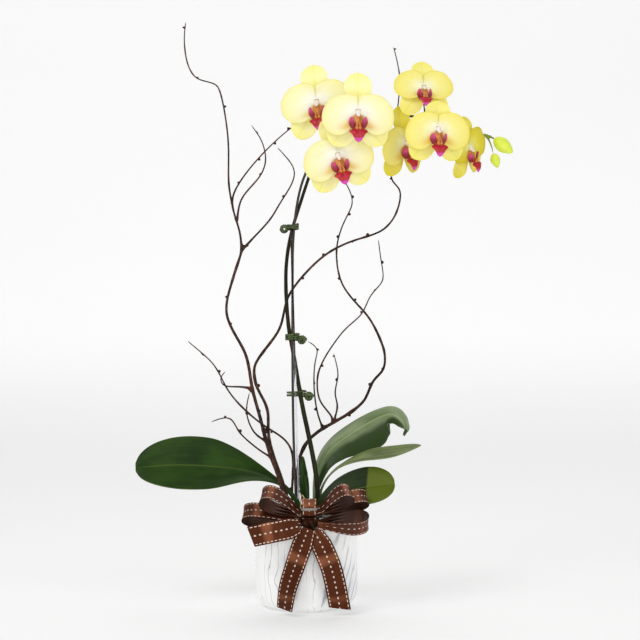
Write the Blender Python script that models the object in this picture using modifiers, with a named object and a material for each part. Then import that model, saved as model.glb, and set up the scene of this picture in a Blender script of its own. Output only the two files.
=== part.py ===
# Potted moth orchid: one arching spike of flowers tied to its stakes among curly willow
# sticks, in a glazed pot with a ribbon bow at the rim. Lengths in the lists are millimetres,
# the built objects are in metres, +Z is up and the pot stands on z = 0, its axis on Z.
import math

import bmesh
import bpy
from mathutils import Quaternion, Vector

MM = 0.001
GAP = 0.3
EPS = 0.0001

POT_RADIUS = 64.0
POT_HEIGHT = 117.0
POT_FOOT_RADIUS = 42.0
POT_WALL = 5.5
POT_FLOOR = 8.0
MEDIUM_TOP = 104.0
STAKE_DEPTH = 45.0

STAKE_RADIUS = 1.6
ROD_RADIUS = 1.2
SPIKE_RADIUS = 3.1
SPIKE_TIP_RADIUS = 1.1
SPIKE_STEP = 16
PEDICEL_RADIUS = 1.2
TIE_WIRE_RADIUS = 0.95

LEAF_THICKNESS = 1.6
PETAL_THICKNESS = 0.9
PETAL_LENGTH = 47.0
DORSAL_LENGTH = 47.0
SEPAL_LENGTH = 56.0
LIP_LENGTH = 29.0
CROWN_HEIGHT = 22.0
CROWN_RADII = (7.0, 4.0)

RIBBON_WIDTH = 26.0
RIBBON_THICKNESS = 0.6
BOW_KNOT = (4, -72, 113)
BOW_KNOT_SIZE = (9.0, 6.0, 7.5)
LOOP_MIDDLE = Vector((4, -84, 131))
CENTRE_LOOP_SIZE = (9.0, 6.5, 12.0)
BAND_REACH = (12.0, 9.4)
WIRE_SIDES = 4

PARTS = "potted_orchid"
CUTTERS = "potted_orchid_cutters"


# ---- scene, materials and mesh helpers ----

def clear_scene():
    for obj in list(bpy.data.objects):
        bpy.data.objects.remove(obj, do_unlink=True)
    for name in (PARTS, CUTTERS):
        collection = bpy.data.collections.new(name)
        bpy.context.scene.collection.children.link(collection)


def finish_material(name, colour, roughness, metallic=0.0):
    mat = bpy.data.materials.new(name)
    mat.use_nodes = True
    shader = mat.node_tree.nodes["Principled BSDF"]
    shader.inputs["Base Color"].default_value = (*colour, 1.0)
    shader.inputs["Roughness"].default_value = roughness
    shader.inputs["Metallic"].default_value = metallic
    return mat


def add_object(name, data, mat, collection=PARTS, parent=None):
    obj = bpy.data.objects.new(name, data)
    bpy.data.collections[collection].objects.link(obj)
    if mat:
        data.materials.append(mat)
    obj.parent = parent
    return obj


# A shape made with bpy.ops, named, coloured and moved into the parts collection.
def take_in(obj, name, mat):
    obj.name = name
    obj.data.materials.append(mat)
    for collection in list(obj.users_collection):
        collection.objects.unlink(obj)
    bpy.data.collections[PARTS].objects.link(obj)
    return obj


def mesh_from(bm, name):
    bmesh.ops.recalc_face_normals(bm, faces=bm.faces)
    for face in bm.faces:
        face.smooth = True
    mesh = bpy.data.meshes.new(name)
    bm.to_mesh(mesh)
    bm.free()
    return mesh


def solidify(obj, thickness, offset=0.0):
    mod = obj.modifiers.new("thickness", "SOLIDIFY")
    mod.thickness = thickness * MM
    mod.offset = offset
    mod.use_even_offset = False


# A flat grid whose corners run u = 0..1 and v = -1..1, moved onto the surface place(u, v).
def sheet(name, across, along, place, thickness, mat, parent=None):
    bm = bmesh.new()
    bmesh.ops.create_grid(bm, x_segments=along, y_segments=across, size=1.0)
    for vert in bm.verts:
        u = (vert.co.x + 1.0) / 2.0
        vert.co = Vector(place(u, vert.co.y)) * MM
    obj = add_object(name, mesh_from(bm, name), mat, parent=parent)
    solidify(obj, thickness)
    return obj


# A disc of rings and spokes, moved onto the surface place(r, angle) with r = 0..1.
def disc_sheet(name, rings, spokes, place, thickness, mat, parent=None):
    bm = bmesh.new()
    chain = [bm.verts.new((i / rings, 0.0, 0.0)) for i in range(rings + 1)]
    edges = [bm.edges.new(pair) for pair in zip(chain, chain[1:])]
    bmesh.ops.spin(bm, geom=chain + edges, cent=(0, 0, 0), axis=(0, -1, 0),
                   angle=math.tau, steps=spokes, use_duplicate=False)
    bmesh.ops.remove_doubles(bm, verts=bm.verts, dist=EPS)
    for vert in bm.verts:
        r = math.hypot(vert.co.x, vert.co.z)
        vert.co = Vector(place(r, math.atan2(vert.co.z, vert.co.x))) * MM
    obj = add_object(name, mesh_from(bm, name), mat, parent=parent)
    solidify(obj, thickness)
    return obj


# ---- routes ----

def spline_point(p0, p1, p2, p3, t):
    a = 2 * p1
    b = p2 - p0
    c = 2 * p0 - 5 * p1 + 4 * p2 - p3
    d = 3 * p1 - p0 - 3 * p2 + p3
    return 0.5 * (a + b * t + c * t * t + d * t * t * t)


# A smooth curve through the route's points, with a point about every `step` millimetres.
def smooth_route(points, step):
    knots = [Vector(p) for p in points]
    knots = [2 * knots[0] - knots[1]] + knots + [2 * knots[-1] - knots[-2]]
    route = []
    for p0, p1, p2, p3 in zip(knots, knots[1:], knots[2:], knots[3:]):
        count = max(1, round((p2 - p1).length / step))
        route += [spline_point(p0, p1, p2, p3, i / count) for i in range(count)]
    return route + [knots[-2]]


# The same curve read at the fraction u of its length, with its direction there.
def route_at(route, u):
    lengths = [(b - a).length for a, b in zip(route, route[1:])]
    target = u * sum(lengths)
    for (a, b), length in zip(zip(route, route[1:]), lengths):
        if target <= length or b is route[-1]:
            return a.lerp(b, min(1.0, target / length)), (b - a).normalized()
        target -= length


# A filled tube along a route, thinning from its first radius to its last.
def tube(name, route, radius, tip_radius, mat, sides=6, collection=PARTS):
    curve = bpy.data.curves.new(name, "CURVE")
    curve.dimensions = "3D"
    curve.bevel_depth = radius * MM
    curve.bevel_resolution = (sides - 4) // 2
    curve.use_fill_caps = True
    spline = curve.splines.new("POLY")
    spline.points.add(len(route) - 1)
    for i, (point, place) in enumerate(zip(spline.points, route)):
        point.co = (*(Vector(place) * MM), 1.0)
        point.radius = 1.0 + (tip_radius / radius - 1.0) * i / (len(route) - 1)
    spline.use_smooth = True
    return add_object(name, curve, mat, collection)


def to_mesh_object(obj):
    graph = bpy.context.evaluated_depsgraph_get()
    mesh = bpy.data.meshes.new_from_object(obj.evaluated_get(graph))
    bm = bmesh.new()
    bm.from_mesh(mesh)
    bmesh.ops.remove_doubles(bm, verts=bm.verts, dist=EPS * 0.1)
    bmesh.ops.recalc_face_normals(bm, faces=bm.faces)
    bm.to_mesh(mesh)
    bm.free()
    name = obj.name
    collection = obj.users_collection[0]
    obj.name = name + "_curve"
    solid = bpy.data.objects.new(name, mesh)
    solid.matrix_world = obj.matrix_world
    collection.objects.link(solid)
    bpy.data.objects.remove(obj, do_unlink=True)
    return solid


def use_cutter(obj, cutter, operation):
    cutter.hide_render = True
    cutter.display_type = "WIRE"
    mod = obj.modifiers.new(cutter.name, "BOOLEAN")
    mod.operation = operation
    mod.object = cutter
    mod.solver = "EXACT"


# One grown piece: a main tube and the side shoots that leave it, joined into one solid.
def grown(name, route, radius, tip_radius, shoots, shoot_radius, mat):
    trunk = to_mesh_object(tube(name, route, radius, tip_radius, mat))
    for i, shoot in enumerate(shoots):
        branch = tube(f"{name}_shoot_{i}", shoot, shoot_radius, shoot_radius * 0.55, None,
                      4, CUTTERS)
        use_cutter(trunk, to_mesh_object(branch), "UNION")
    return trunk


# ---- pot and growing medium ----

def arc(cx, cz, radius, start, stop, count):
    angles = [math.radians(start + (stop - start) * i / count) for i in range(count + 1)]
    return [(cx + radius * math.cos(a), cz + radius * math.sin(a)) for a in angles]


def turned(name, profile, steps, mat):
    bm = bmesh.new()
    verts = [bm.verts.new((x * MM, 0.0, z * MM)) for x, z in profile]
    for pair in zip(verts, verts[1:]):
        bm.edges.new(pair)
    mesh = bpy.data.meshes.new(name)
    bm.to_mesh(mesh)
    bm.free()
    obj = add_object(name, mesh, mat)
    screw = obj.modifiers.new("turn", "SCREW")
    screw.steps = screw.render_steps = steps
    screw.use_merge_vertices = True
    screw.merge_threshold = EPS * 0.5
    screw.use_smooth_shade = True
    return obj


# The inside of the pot from the middle of its floor up its wall, drawn in by `gap`.
def pot_inside(top, gap=0.0):
    corner = 22.0
    wall = POT_RADIUS - POT_WALL - gap
    return [(0.0, POT_FLOOR + gap),
            *arc(wall - corner, POT_FLOOR + corner + gap, corner, -90, 0, 4),
            (wall, top)]


def make_pot(mat):
    lip = POT_WALL / 2
    foot_round = POT_RADIUS - POT_FOOT_RADIUS
    profile = [*pot_inside(POT_HEIGHT - lip),
               *arc(POT_RADIUS - lip, POT_HEIGHT - lip, lip, 150, 0, 4),
               *arc(POT_FOOT_RADIUS, foot_round, foot_round, 0, -90, 6),
               (0.0, 0.0)]
    return turned("pot", profile, 36, mat)


def make_medium(mat, hole_routes):
    side = pot_inside(MEDIUM_TOP - 3, GAP)
    profile = [(0.0, MEDIUM_TOP), (40.0, MEDIUM_TOP - 0.8), *reversed(side)]
    medium = turned("growing_medium", profile, 24, mat)
    for i, (foot, collar, radius) in enumerate(hole_routes):
        top = collar + (collar - foot).normalized() * 4
        hole = tube(f"stick_hole_{i}", [foot - Vector((0, 0, GAP)), top], radius + GAP * 1.4,
                    radius + GAP * 1.4, None, 6, CUTTERS)
        use_cutter(medium, to_mesh_object(hole), "DIFFERENCE")
    return medium


# ---- leaves ----

CROWN_BASE = (5, -3, MEDIUM_TOP + GAP)

# Each leaf: the line of its midrib, its half width, how far along it is widest (a power
# over 1 moves that towards the tip), how blunt its end is (a smaller power is blunter), the
# blade's lean from level and how much it is folded.
LEAVES = {
    "leaf_left": dict(
        midrib=[(-3, -6, 114), (-14, -8.5, 134), (-34, -6, 154), (-70, -4, 168),
                (-115, -3, 174), (-165, -4, 176), (-213, -8, 173)],
        half_width=39, widest=2.0, blunt=0.55, lean=52, fold=0.16),
    "leaf_right_upper": dict(
        midrib=[(9, 5, 116), (11, 8, 148), (18, 12, 176), (34, 18, 197), (62, 24, 217),
                (90, 26, 233), (110, 20, 238), (122, 7, 226), (123, -3, 213)],
        half_width=35, widest=2.1, blunt=0.6, lean=45, fold=-0.38),
    "leaf_right_narrow": dict(
        midrib=[(13.5, -1, 114), (20, -2, 148), (36, -14, 171), (66, -22, 185), (106, -23, 192),
                (142, -20, 202)],
        half_width=17, widest=2.1, blunt=0.5, lean=17, fold=0.2),
    "leaf_right_lower": dict(
        midrib=[(9, -11.5, 112), (16, -21, 125), (42, -27, 143), (72, -28, 151), (109, -30, 156)],
        half_width=25, widest=2.1, blunt=0.4, lean=58, fold=0.15),
    "leaf_young": dict(
        midrib=[(0, 5.5, 116), (-2, 7.5, 140), (-4, 8, 165), (-5, 7, 186)],
        half_width=6, widest=0.9, blunt=0.6, lean=0, fold=0.25, level=(1, 0, 0)),
}


def make_leaf(name, midrib, half_width, widest, blunt, lean, fold, mat, level=(0, 1, 0)):
    route = smooth_route(midrib, 8)
    lean = math.radians(lean)
    root_width = 3.5

    def place(u, v):
        centre, ahead = route_at(route, u)
        flat = (Vector(level) - ahead * ahead.dot(level)).normalized()
        upward = flat.cross(ahead)
        upward = upward if upward.z >= 0 else -upward
        blade = flat * math.cos(lean) + upward * math.sin(lean)
        face = upward * math.cos(lean) - flat * math.sin(lean)
        width = half_width * math.sin(math.pi * min(u, 0.997) ** widest) ** blunt
        width = max(width, root_width * (1 - u) ** 0.5, 0.6)
        return centre + blade * (v * width) + face * (fold * width * abs(v) ** 1.5)

    return sheet(name, 4, 12, place, LEAF_THICKNESS, mat)


def make_crown(mat):
    x, y, z = CROWN_BASE
    bottom, top = CROWN_RADII
    bpy.ops.mesh.primitive_cone_add(vertices=12, radius1=bottom * MM, radius2=top * MM,
                                    depth=CROWN_HEIGHT * MM,
                                    location=(x * MM, y * MM, (z + CROWN_HEIGHT / 2) * MM))
    return take_in(bpy.context.object, "crown", mat)


# ---- spike, stakes and ties ----

SPIKE = [(16, -11, 113), (14, -13, 146), (11, -11, 172), (3, -6, 212), (-6, 0, 254), (-16, 9, 312),
         (-23, 10, 352), (-26, 8, 400), (-25, 8, 432), (-19, 11, 468), (-9, 12, 500),
         (-1, 14, 525), (12, 17, 560), (36, 20, 592), (72, 22, 611), (112, 23, 616),
         (150, 22, 612), (185, 20, 602), (210, 17, 593), (226, 13, 590), (235.2, 5, 584.3)]

STAKE = [(-11, 4, MEDIUM_TOP - STAKE_DEPTH), (-12, 4, MEDIUM_TOP), (-16, 4, 200), (-17.5, 4, 300),
         (-17.5, 4, 390), (-17, 4, 460), (-13, 4, 500), (-5, 6, 535), (9, 8, 562)]

CLEAR_ROD = [(-7.5, -2, MEDIUM_TOP - STAKE_DEPTH), (-20, -2, 489)]

# Each tie: its middle, half its width and depth, its turns and its rise in a turn.
TIES = {
    "tie_upper": dict(centre=(-17.5, 4.2, 470), half=(6.8, 12.4), turns=2.6, rise=2.6, tail=-1),
    "tie_middle": dict(centre=(-17.5, 4.4, 332), half=(8.2, 12.2), turns=3.2, rise=2.6, tail=1),
    "tie_lower": dict(centre=(-12.2, 2.8, 264), half=(11.6, 8.2), turns=2.2, rise=3.4, tail=1),
}


def make_tie(name, centre, half, turns, rise, tail, mat):
    middle = Vector(centre)
    steps = 12
    route = []
    for i in range(round(turns * steps) + 1):
        angle = math.tau * i / steps
        height = (i / steps - turns / 2) * rise
        route.append(middle + Vector((half[0] * math.cos(angle) * tail,
                                      half[1] * math.sin(angle), height)))
    end = route[0]
    route = [end + Vector((5.5 * tail, -5, -3)), end + Vector((2.5 * tail, -3, -1.2))] + route
    return tube(name, route, TIE_WIRE_RADIUS, TIE_WIRE_RADIUS, mat, 4)


# ---- willow sticks ----

STICK_TIP = 0.6
STICK_STEP = 15
WILLOW = {
    "willow_tall": dict(
        radius=2.4, foot=(-27, -31), main=[
            (-30, -29, 150), (-46, -21, 195), (-56, -15, 231), (-68, -13, 275), (-74, -14, 312),
            (-94, -22, 350), (-99, -26, 374), (-89, -24, 414), (-80, -17, 443), (-82, -12, 464),
            (-93, -3, 503), (-85, 6, 528), (-60, 19, 562), (-30, 25, 592), (-6, 30, 611)],
        shoots=[
            [(-93, -3, 503), (-97, -8, 528), (-97, -13, 580), (-105, -8, 632), (-114, -2, 653),
             (-135, 3, 657), (-149, 8, 676), (-154, 12, 708), (-152, 12, 732)],
            [(-80, -17, 443), (-67, -24, 457), (-45, -27, 480), (-32, -18, 503), (-18, 4, 528),
             (-16, 17, 550), (-38, 22, 576)],
            [(-86, -9, 480), (-81, -17, 508), (-58, -21, 533), (-50, -8, 558), (-58, 0, 586),
             (-70, 4, 602)],
            [(-67, -13, 272), (-84, -20, 275), (-103, -28, 274), (-107, -31, 286), (-99, -32, 294)],
            [(-50, -19, 207), (-65, -31, 219), (-74, -34, 244), (-70, -23, 268)],
            [(-43, -23, 187), (-60, -35, 199), (-84, -41, 221), (-91, -38, 238), (-104, -40, 237),
             (-117, -43, 232)],
        ]),
    "willow_crossing": dict(
        radius=2.0, foot=(-20, -25), main=[
            (-27, -20, 150), (-39, -11, 182), (-48, -5, 215), (-48, 0, 246), (-64, 5, 275),
            (-67, 8, 296), (-54, 11, 318), (-33, 15, 346), (-26, 17, 380), (-12, 19, 404),
            (20, 22, 437), (52, 24, 455), (98, 25, 471), (116, 30, 498), (119, 33, 524),
            (108, 34, 533), (108, 34, 572), (116, 33, 630), (118, 28, 668), (110, 24, 702)],
        shoots=[]),
    "willow_right": dict(
        radius=2.3, foot=(-10, 15), main=[
            (-12, 15, 150), (-9, 15, 184), (5, 20, 209), (32, 27, 226), (58, 32, 241),
            (76, 31, 258), (82, 28, 278), (99, 19, 296), (99, 13, 315), (81, 0, 356),
            (54, -8, 387), (41, -9, 410), (37, -7, 446), (46, -2, 478), (59, 3, 504),
            (54, 7, 522), (43, 11, 538)],
        shoots=[
            [(20, 24, 221), (13, 18, 242), (9, 13, 276), (11, 12, 308), (16, 12, 322),
             (0, 8, 331)],
            [(33, 27, 227), (32, 25, 236), (17, 20, 252), (13, 20, 282), (22, 26, 308),
             (48, 30, 345), (70, 22, 364), (80, 12, 388), (98, 8, 408), (94, 8, 428),
             (90, 8, 459)],
            [(34, 27, 228), (40, 29, 250), (34, 32, 265), (41, 32, 284), (34, 34, 316)],
        ]),
    "willow_low": dict(
        radius=1.6, foot=(-19, 10), main=[
            (-18, 11, 150), (-17, 10, 186), (-27, 7, 207), (-58, 4, 228), (-84, -6, 252),
            (-100, -16, 274), (-114, -22, 302), (-146, -30, 331)],
        shoots=[]),
}


def make_willow(name, radius, foot, main, shoots, mat):
    foot = Vector((*foot, MEDIUM_TOP))
    route = [foot - Vector((0, 0, STAKE_DEPTH))] + smooth_route([foot, *main], STICK_STEP)
    shoot_routes = [smooth_route(shoot, STICK_STEP) for shoot in shoots]
    return grown(name, route, radius, STICK_TIP, shoot_routes, radius * 0.6, mat)


# ---- flowers and buds ----

# Each flower: the middle of its face, its turn to the right, nod and roll in degrees, its
# size beside a full-grown one, the length of its upright sepal beside the usual one and the
# droop of its petals in degrees.
FLOWERS = [
    dict(middle=(13, -20, 628), turn=-8, nod=0, roll=-8, size=0.98, dorsal=1.0, droop=10),
    dict(middle=(63, -60, 611), turn=2, nod=4, roll=0, size=0.98, dorsal=1.0, droop=25),
    dict(middle=(38, -40, 561), turn=6, nod=6, roll=-13, size=0.98, dorsal=1.0, droop=25),
    dict(middle=(121, -14, 579), turn=45, nod=4, roll=-10, size=0.92, dorsal=1.0, droop=25),
    dict(middle=(145, -20, 645), turn=6, nod=-18, roll=0, size=0.8, dorsal=1.0, droop=0),
    dict(middle=(159, -67, 590), turn=12, nod=6, roll=0, size=0.9, dorsal=0.75, droop=25),
    dict(middle=(200, -24, 571), turn=50, nod=6, roll=-16, size=0.8, dorsal=1.0, droop=0),
]


def lobe(swing, power):
    return max(0.0, math.cos(swing)) ** power


# Two broad petals, drooping a little, that meet over and under the column. Each one's edge
# falls away slowly above its middle line and faster below it.
def petal_place(r, angle, droop):
    side = angle if abs(angle) < math.pi / 2 else math.copysign(math.pi, angle) - angle
    swing = side + math.radians(droop)
    swing *= 0.78 if swing > 0 else 1.12
    reach = 0.4 + 0.6 * lobe(swing, 2)
    radius = r * PETAL_LENGTH * reach
    column = 7.0 * math.exp(-(radius / 4.0) ** 2)
    cup = -2.2 * math.sin(math.pi * min(1.0, radius / PETAL_LENGTH))
    return (radius * math.cos(angle), cup - column - 1.0, radius * math.sin(angle))


# Three sepals behind the petals: one upright, two longer ones spread below.
def sepal_place(r, angle, dorsal):
    spread = math.radians(39)
    reaches = [DORSAL_LENGTH * dorsal * lobe(angle - math.pi / 2, 2),
               SEPAL_LENGTH * lobe(angle + math.pi / 2 + spread, 2.6),
               SEPAL_LENGTH * lobe(angle + math.pi / 2 - spread, 2.6)]
    radius = r * (4.5 + max(reaches) * 0.92)
    back = 2.4 + 3.0 * (radius / DORSAL_LENGTH) ** 2
    return (radius * math.cos(angle), back, radius * math.sin(angle))


# The lip hangs below the column: two side lobes curl up, the middle lobe runs to a tip.
def lip_place(u, v):
    side_lobe = math.exp(-((u - 0.28) / 0.15) ** 2)
    middle_lobe = math.exp(-((u - 0.70) / 0.14) ** 2)
    width = (3.0 + 11.0 * side_lobe + 7.5 * middle_lobe) * max(0.12, 1 - u ** 7)
    y = -5.5 - 11 * math.sin(math.pi * u ** 0.8) - 8.0 * side_lobe * v * v
    z = -7.0 - LIP_LENGTH * u + 5.0 * side_lobe * v * v
    return (v * width * (1 - 0.2 * side_lobe * abs(v)), y, z)


def make_flower(number, middle, turn, nod, roll, size, dorsal, droop, petal_mat, sepal_mat,
                lip_mat):
    holder = bpy.data.objects.new(f"flower_{number}", None)
    bpy.data.collections[PARTS].objects.link(holder)
    holder.location = Vector(middle) * MM
    holder.rotation_euler = (math.radians(nod), math.radians(roll), math.radians(turn))
    holder.scale = (size, size, size)
    name = f"flower_{number}"
    disc_sheet(f"{name}_petals", 4, 18, lambda r, angle: petal_place(r, angle, droop),
               PETAL_THICKNESS, petal_mat, holder)
    disc_sheet(f"{name}_sepals", 3, 24, lambda r, angle: sepal_place(r, angle, dorsal),
               PETAL_THICKNESS, sepal_mat, holder)
    sheet(f"{name}_lip", 4, 8, lip_place, PETAL_THICKNESS, lip_mat, holder)
    return holder


# Where a flower's stalk meets the back of its sepals.
def flower_back(flower):
    turn = math.radians(flower["turn"])
    nod = math.radians(flower["nod"])
    behind = Vector((-math.sin(turn) * math.cos(nod), math.cos(turn) * math.cos(nod),
                     math.sin(nod)))
    return Vector(flower["middle"]) + behind * (3.4 * flower["size"] + GAP), behind


BUDS = {
    "bud_large": dict(foot=(235.5, 4.8, 584), tip=(257, -3, 566), radius=9.2),
    "bud_small": dict(foot=(233, -6, 564), tip=(238, -8, 547), radius=6.0),
}


def make_bud(name, foot, tip, radius, mat):
    foot = Vector(foot)
    tip = Vector(tip)
    bpy.ops.mesh.primitive_uv_sphere_add(segments=12, ring_count=8, radius=1.0,
                                         location=(foot + tip) / 2 * MM)
    bud = take_in(bpy.context.object, name, mat)
    bud.scale = (radius * MM, radius * MM, (tip - foot).length / 2 * MM)
    bud.rotation_mode = "QUATERNION"
    bud.rotation_quaternion = (foot - tip).to_track_quat("Z", "Y")
    for vert in bud.data.vertices:
        point = max(0.0, -vert.co.z)
        vert.co.x *= 1 - 0.45 * point
        vert.co.y *= 1 - 0.45 * point
    bud.data.shade_smooth()
    return bud


def make_spike(mat):
    route = smooth_route(SPIKE, SPIKE_STEP)
    shoots = []
    for flower in FLOWERS:
        back, behind = flower_back(flower)
        branching = back + behind * 14 + Vector((10, 0, 0))
        root = min(route, key=lambda p: (p - branching).length)
        elbow = back + behind * 9
        shoots.append(smooth_route([root, root.lerp(elbow, 0.55) + Vector((0, 0, 3)), elbow,
                                    back], SPIKE_STEP))
    side_bud = BUDS["bud_small"]
    foot = Vector(side_bud["foot"])
    axis = (Vector(side_bud["tip"]) - foot).normalized()
    shoots.append([Vector(SPIKE[-2]), foot - axis * 10 + Vector((1, 5, 2)), foot - axis * GAP])
    return grown("flower_spike", route, SPIKE_RADIUS, SPIKE_TIP_RADIUS, shoots, PEDICEL_RADIUS,
                 mat)


# ---- ribbon bow ----

# Loops of the bow: where each leaves the knot, the way it points, its length and height,
# and how far its near edge drops below its far edge.
LOOPS = {
    "bow_loop_left_front": dict(root=(-7, -76, 124), way=(-0.87, -0.15, 0.45), length=52,
                                height=20, drop=0.75),
    "bow_loop_left_outer": dict(root=(-6, -74, 115), way=(-1.0, 0.0, 0.13), length=70,
                                height=16, drop=0.75),
    "bow_loop_right_front": dict(root=(18, -76, 128), way=(0.82, -0.1, 0.52), length=42,
                                 height=17, drop=0.75),
    "bow_loop_right_back": dict(root=(12, -57, 125), way=(0.95, 0.0, 0.25), length=64,
                                height=13, drop=0.75),
    "bow_loop_right_lower": dict(root=(14, -80, 112), way=(1.0, 0.05, 0.04), length=61,
                                 height=18, drop=-1.0),
}

# Tails of the bow: the line each hangs along, the slant of its cut end and how far it has
# turned about its own line by then.
TAILS = {
    "bow_tail_left": dict(line=[(3, -81, 107), (-4, -78, 88), (-13, -76, 62), (-22, -75, 34),
                                (-26, -74, 8)], cut=0.0, twist=42),
    "bow_tail_right": dict(line=[(9, -74.5, 104), (20, -76, 84), (30, -75, 60), (36, -74, 36),
                                 (41, -73, 9)], cut=4.0, twist=0),
    "bow_tail_side": dict(line=[(-8, -84, 110), (-24, -90, 107), (-44, -91, 103), (-66, -88, 98)],
                          cut=-2.0, twist=0),
}


# A loop leaves its root, opens, turns back at its far end and returns beside its start.
def make_loop(name, root, way, length, height, drop, mat):
    ahead = Vector(way).normalized()
    near = Vector((0, -1, -drop)).normalized()
    near = (near - ahead * near.dot(ahead)).normalized()
    lift = near.cross(ahead)
    lift = lift if lift.z > 0 else -lift
    start = Vector(root)

    def place(u, v):
        out = length * math.sin(math.pi * u) ** 0.92
        rise = height / 2 * math.sin(math.tau * u) + 1.2 * math.cos(math.pi * u)
        pinch = 0.5 + 0.5 * min(1.0, math.sin(math.pi * u) * 1.6)
        return start + ahead * out + lift * rise + near * (v * pinch * RIBBON_WIDTH / 2)

    return sheet(name, 1, 18, place, RIBBON_THICKNESS, mat)


def make_tail(name, line, cut, twist, mat):
    route = smooth_route(line, 10)

    def place(u, v):
        centre, ahead = route_at(route, u)
        side = ahead.cross(Vector((0, 1, 0))).normalized()
        side = Quaternion(ahead, math.radians(twist) * u) @ side
        pinch = 0.7 + 0.3 * min(1.0, u * 5)
        return centre + side * (v * pinch * RIBBON_WIDTH / 2) + ahead * (v * cut * u ** 6)

    return sheet(name, 1, 10, place, RIBBON_THICKNESS, mat)


# A short loop that stands up over the knot, with a clear band round its waist.
def make_centre_loop(mat):
    half_width, deep, tall = CENTRE_LOOP_SIZE

    def place(u, v):
        angle = math.radians(-70) - math.radians(330) * u
        ring = Vector((0, -math.cos(angle) * deep, math.sin(angle) * tall))
        return LOOP_MIDDLE + ring + Vector((v * half_width, 0, 0))

    return sheet("bow_loop_centre", 1, 14, place, RIBBON_THICKNESS, mat)


def make_bow_knot(mat):
    x, y, z = BOW_KNOT
    bpy.ops.mesh.primitive_uv_sphere_add(segments=12, ring_count=8, radius=1.0,
                                         location=(x * MM, y * MM, z * MM))
    knot = take_in(bpy.context.object, "bow_knot", mat)
    knot.scale = Vector(BOW_KNOT_SIZE) * MM
    knot.data.shade_smooth()
    return knot


BOW_PICK = [(2, -68, 123), (0, -60, 134), (-5, -46, 144), (-7, -37, 130),
            (-7, -34, MEDIUM_TOP + GAP)]


def make_bow_band(mat):
    wide, deep = BAND_REACH
    route = []
    for i in range(19):
        angle = math.tau * i / 19.6
        reach = (math.cos(angle) ** 4 + math.sin(angle) ** 4) ** -0.25
        route.append(LOOP_MIDDLE + reach * Vector((wide * math.cos(angle),
                                                   deep * math.sin(angle), 0)))
    return tube("bow_band", route, 0.7, 0.7, mat, WIRE_SIDES)


def main():
    clear_scene()
    glaze = finish_material("white_marbled_glaze", (0.90, 0.90, 0.89), 0.18)
    bark = finish_material("bark", (0.10, 0.06, 0.035), 0.9)
    leaf_green = finish_material("leaf_green", (0.035, 0.11, 0.015), 0.32)
    stem_green = finish_material("stem_green", (0.045, 0.075, 0.02), 0.5)
    willow_bark = finish_material("willow_bark", (0.085, 0.045, 0.028), 0.75)
    dark_stake = finish_material("dark_stake", (0.03, 0.02, 0.016), 0.6)
    clear_plastic = finish_material("clear_plastic", (0.85, 0.90, 0.92), 0.1)
    tie_green = finish_material("tie_green", (0.05, 0.09, 0.03), 0.6)
    petal_yellow = finish_material("petal_yellow", (0.93, 0.87, 0.38), 0.5)
    sepal_yellow = finish_material("sepal_yellow", (0.88, 0.82, 0.32), 0.5)
    lip_crimson = finish_material("lip_crimson", (0.52, 0.01, 0.06), 0.45)
    bud_green = finish_material("bud_green", (0.50, 0.60, 0.10), 0.5)
    pick_wood = finish_material("pick_wood", (0.62, 0.50, 0.33), 0.7)
    brown_satin = finish_material("brown_satin", (0.16, 0.045, 0.02), 0.35)

    make_pot(glaze)
    planted = []
    for stick in WILLOW.values():
        collar = Vector((*stick["foot"], MEDIUM_TOP))
        planted.append((collar - Vector((0, 0, STAKE_DEPTH)), collar, stick["radius"] + 0.3))
    planted.append((Vector(STAKE[0]), Vector(STAKE[1]), STAKE_RADIUS))
    rod_foot = Vector(CLEAR_ROD[0])
    rod_way = (Vector(CLEAR_ROD[1]) - rod_foot).normalized()
    planted.append((rod_foot, rod_foot + rod_way * STAKE_DEPTH, ROD_RADIUS + 0.3))
    make_medium(bark, planted)

    make_crown(stem_green)
    for name, leaf in LEAVES.items():
        make_leaf(name, mat=leaf_green, **leaf)

    make_spike(stem_green)
    tube("stake", smooth_route(STAKE, 40), STAKE_RADIUS, STAKE_RADIUS, dark_stake)
    tube("clear_rod", CLEAR_ROD, ROD_RADIUS, ROD_RADIUS, clear_plastic, 8)
    for name, tie in TIES.items():
        make_tie(name, mat=tie_green, **tie)

    for name, stick in WILLOW.items():
        make_willow(name, mat=willow_bark, **stick)

    for number, flower in enumerate(FLOWERS, 1):
        make_flower(number, petal_mat=petal_yellow, sepal_mat=sepal_yellow, lip_mat=lip_crimson,
                    **flower)
    for name, bud in BUDS.items():
        make_bud(name, mat=bud_green, **bud)

    for name, loop in LOOPS.items():
        make_loop(name, mat=brown_satin, **loop)
    make_centre_loop(brown_satin)
    for name, tail in TAILS.items():
        make_tail(name, mat=brown_satin, **tail)
    make_bow_knot(brown_satin)
    make_bow_band(clear_plastic)
    tube("bow_pick", smooth_route(BOW_PICK, 6), 0.8, 0.8, pick_wood, 4)


main()
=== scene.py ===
import math
import random

import bpy
from mathutils import Euler, Matrix, Vector, noise
from mathutils.bvhtree import BVHTree


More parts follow.
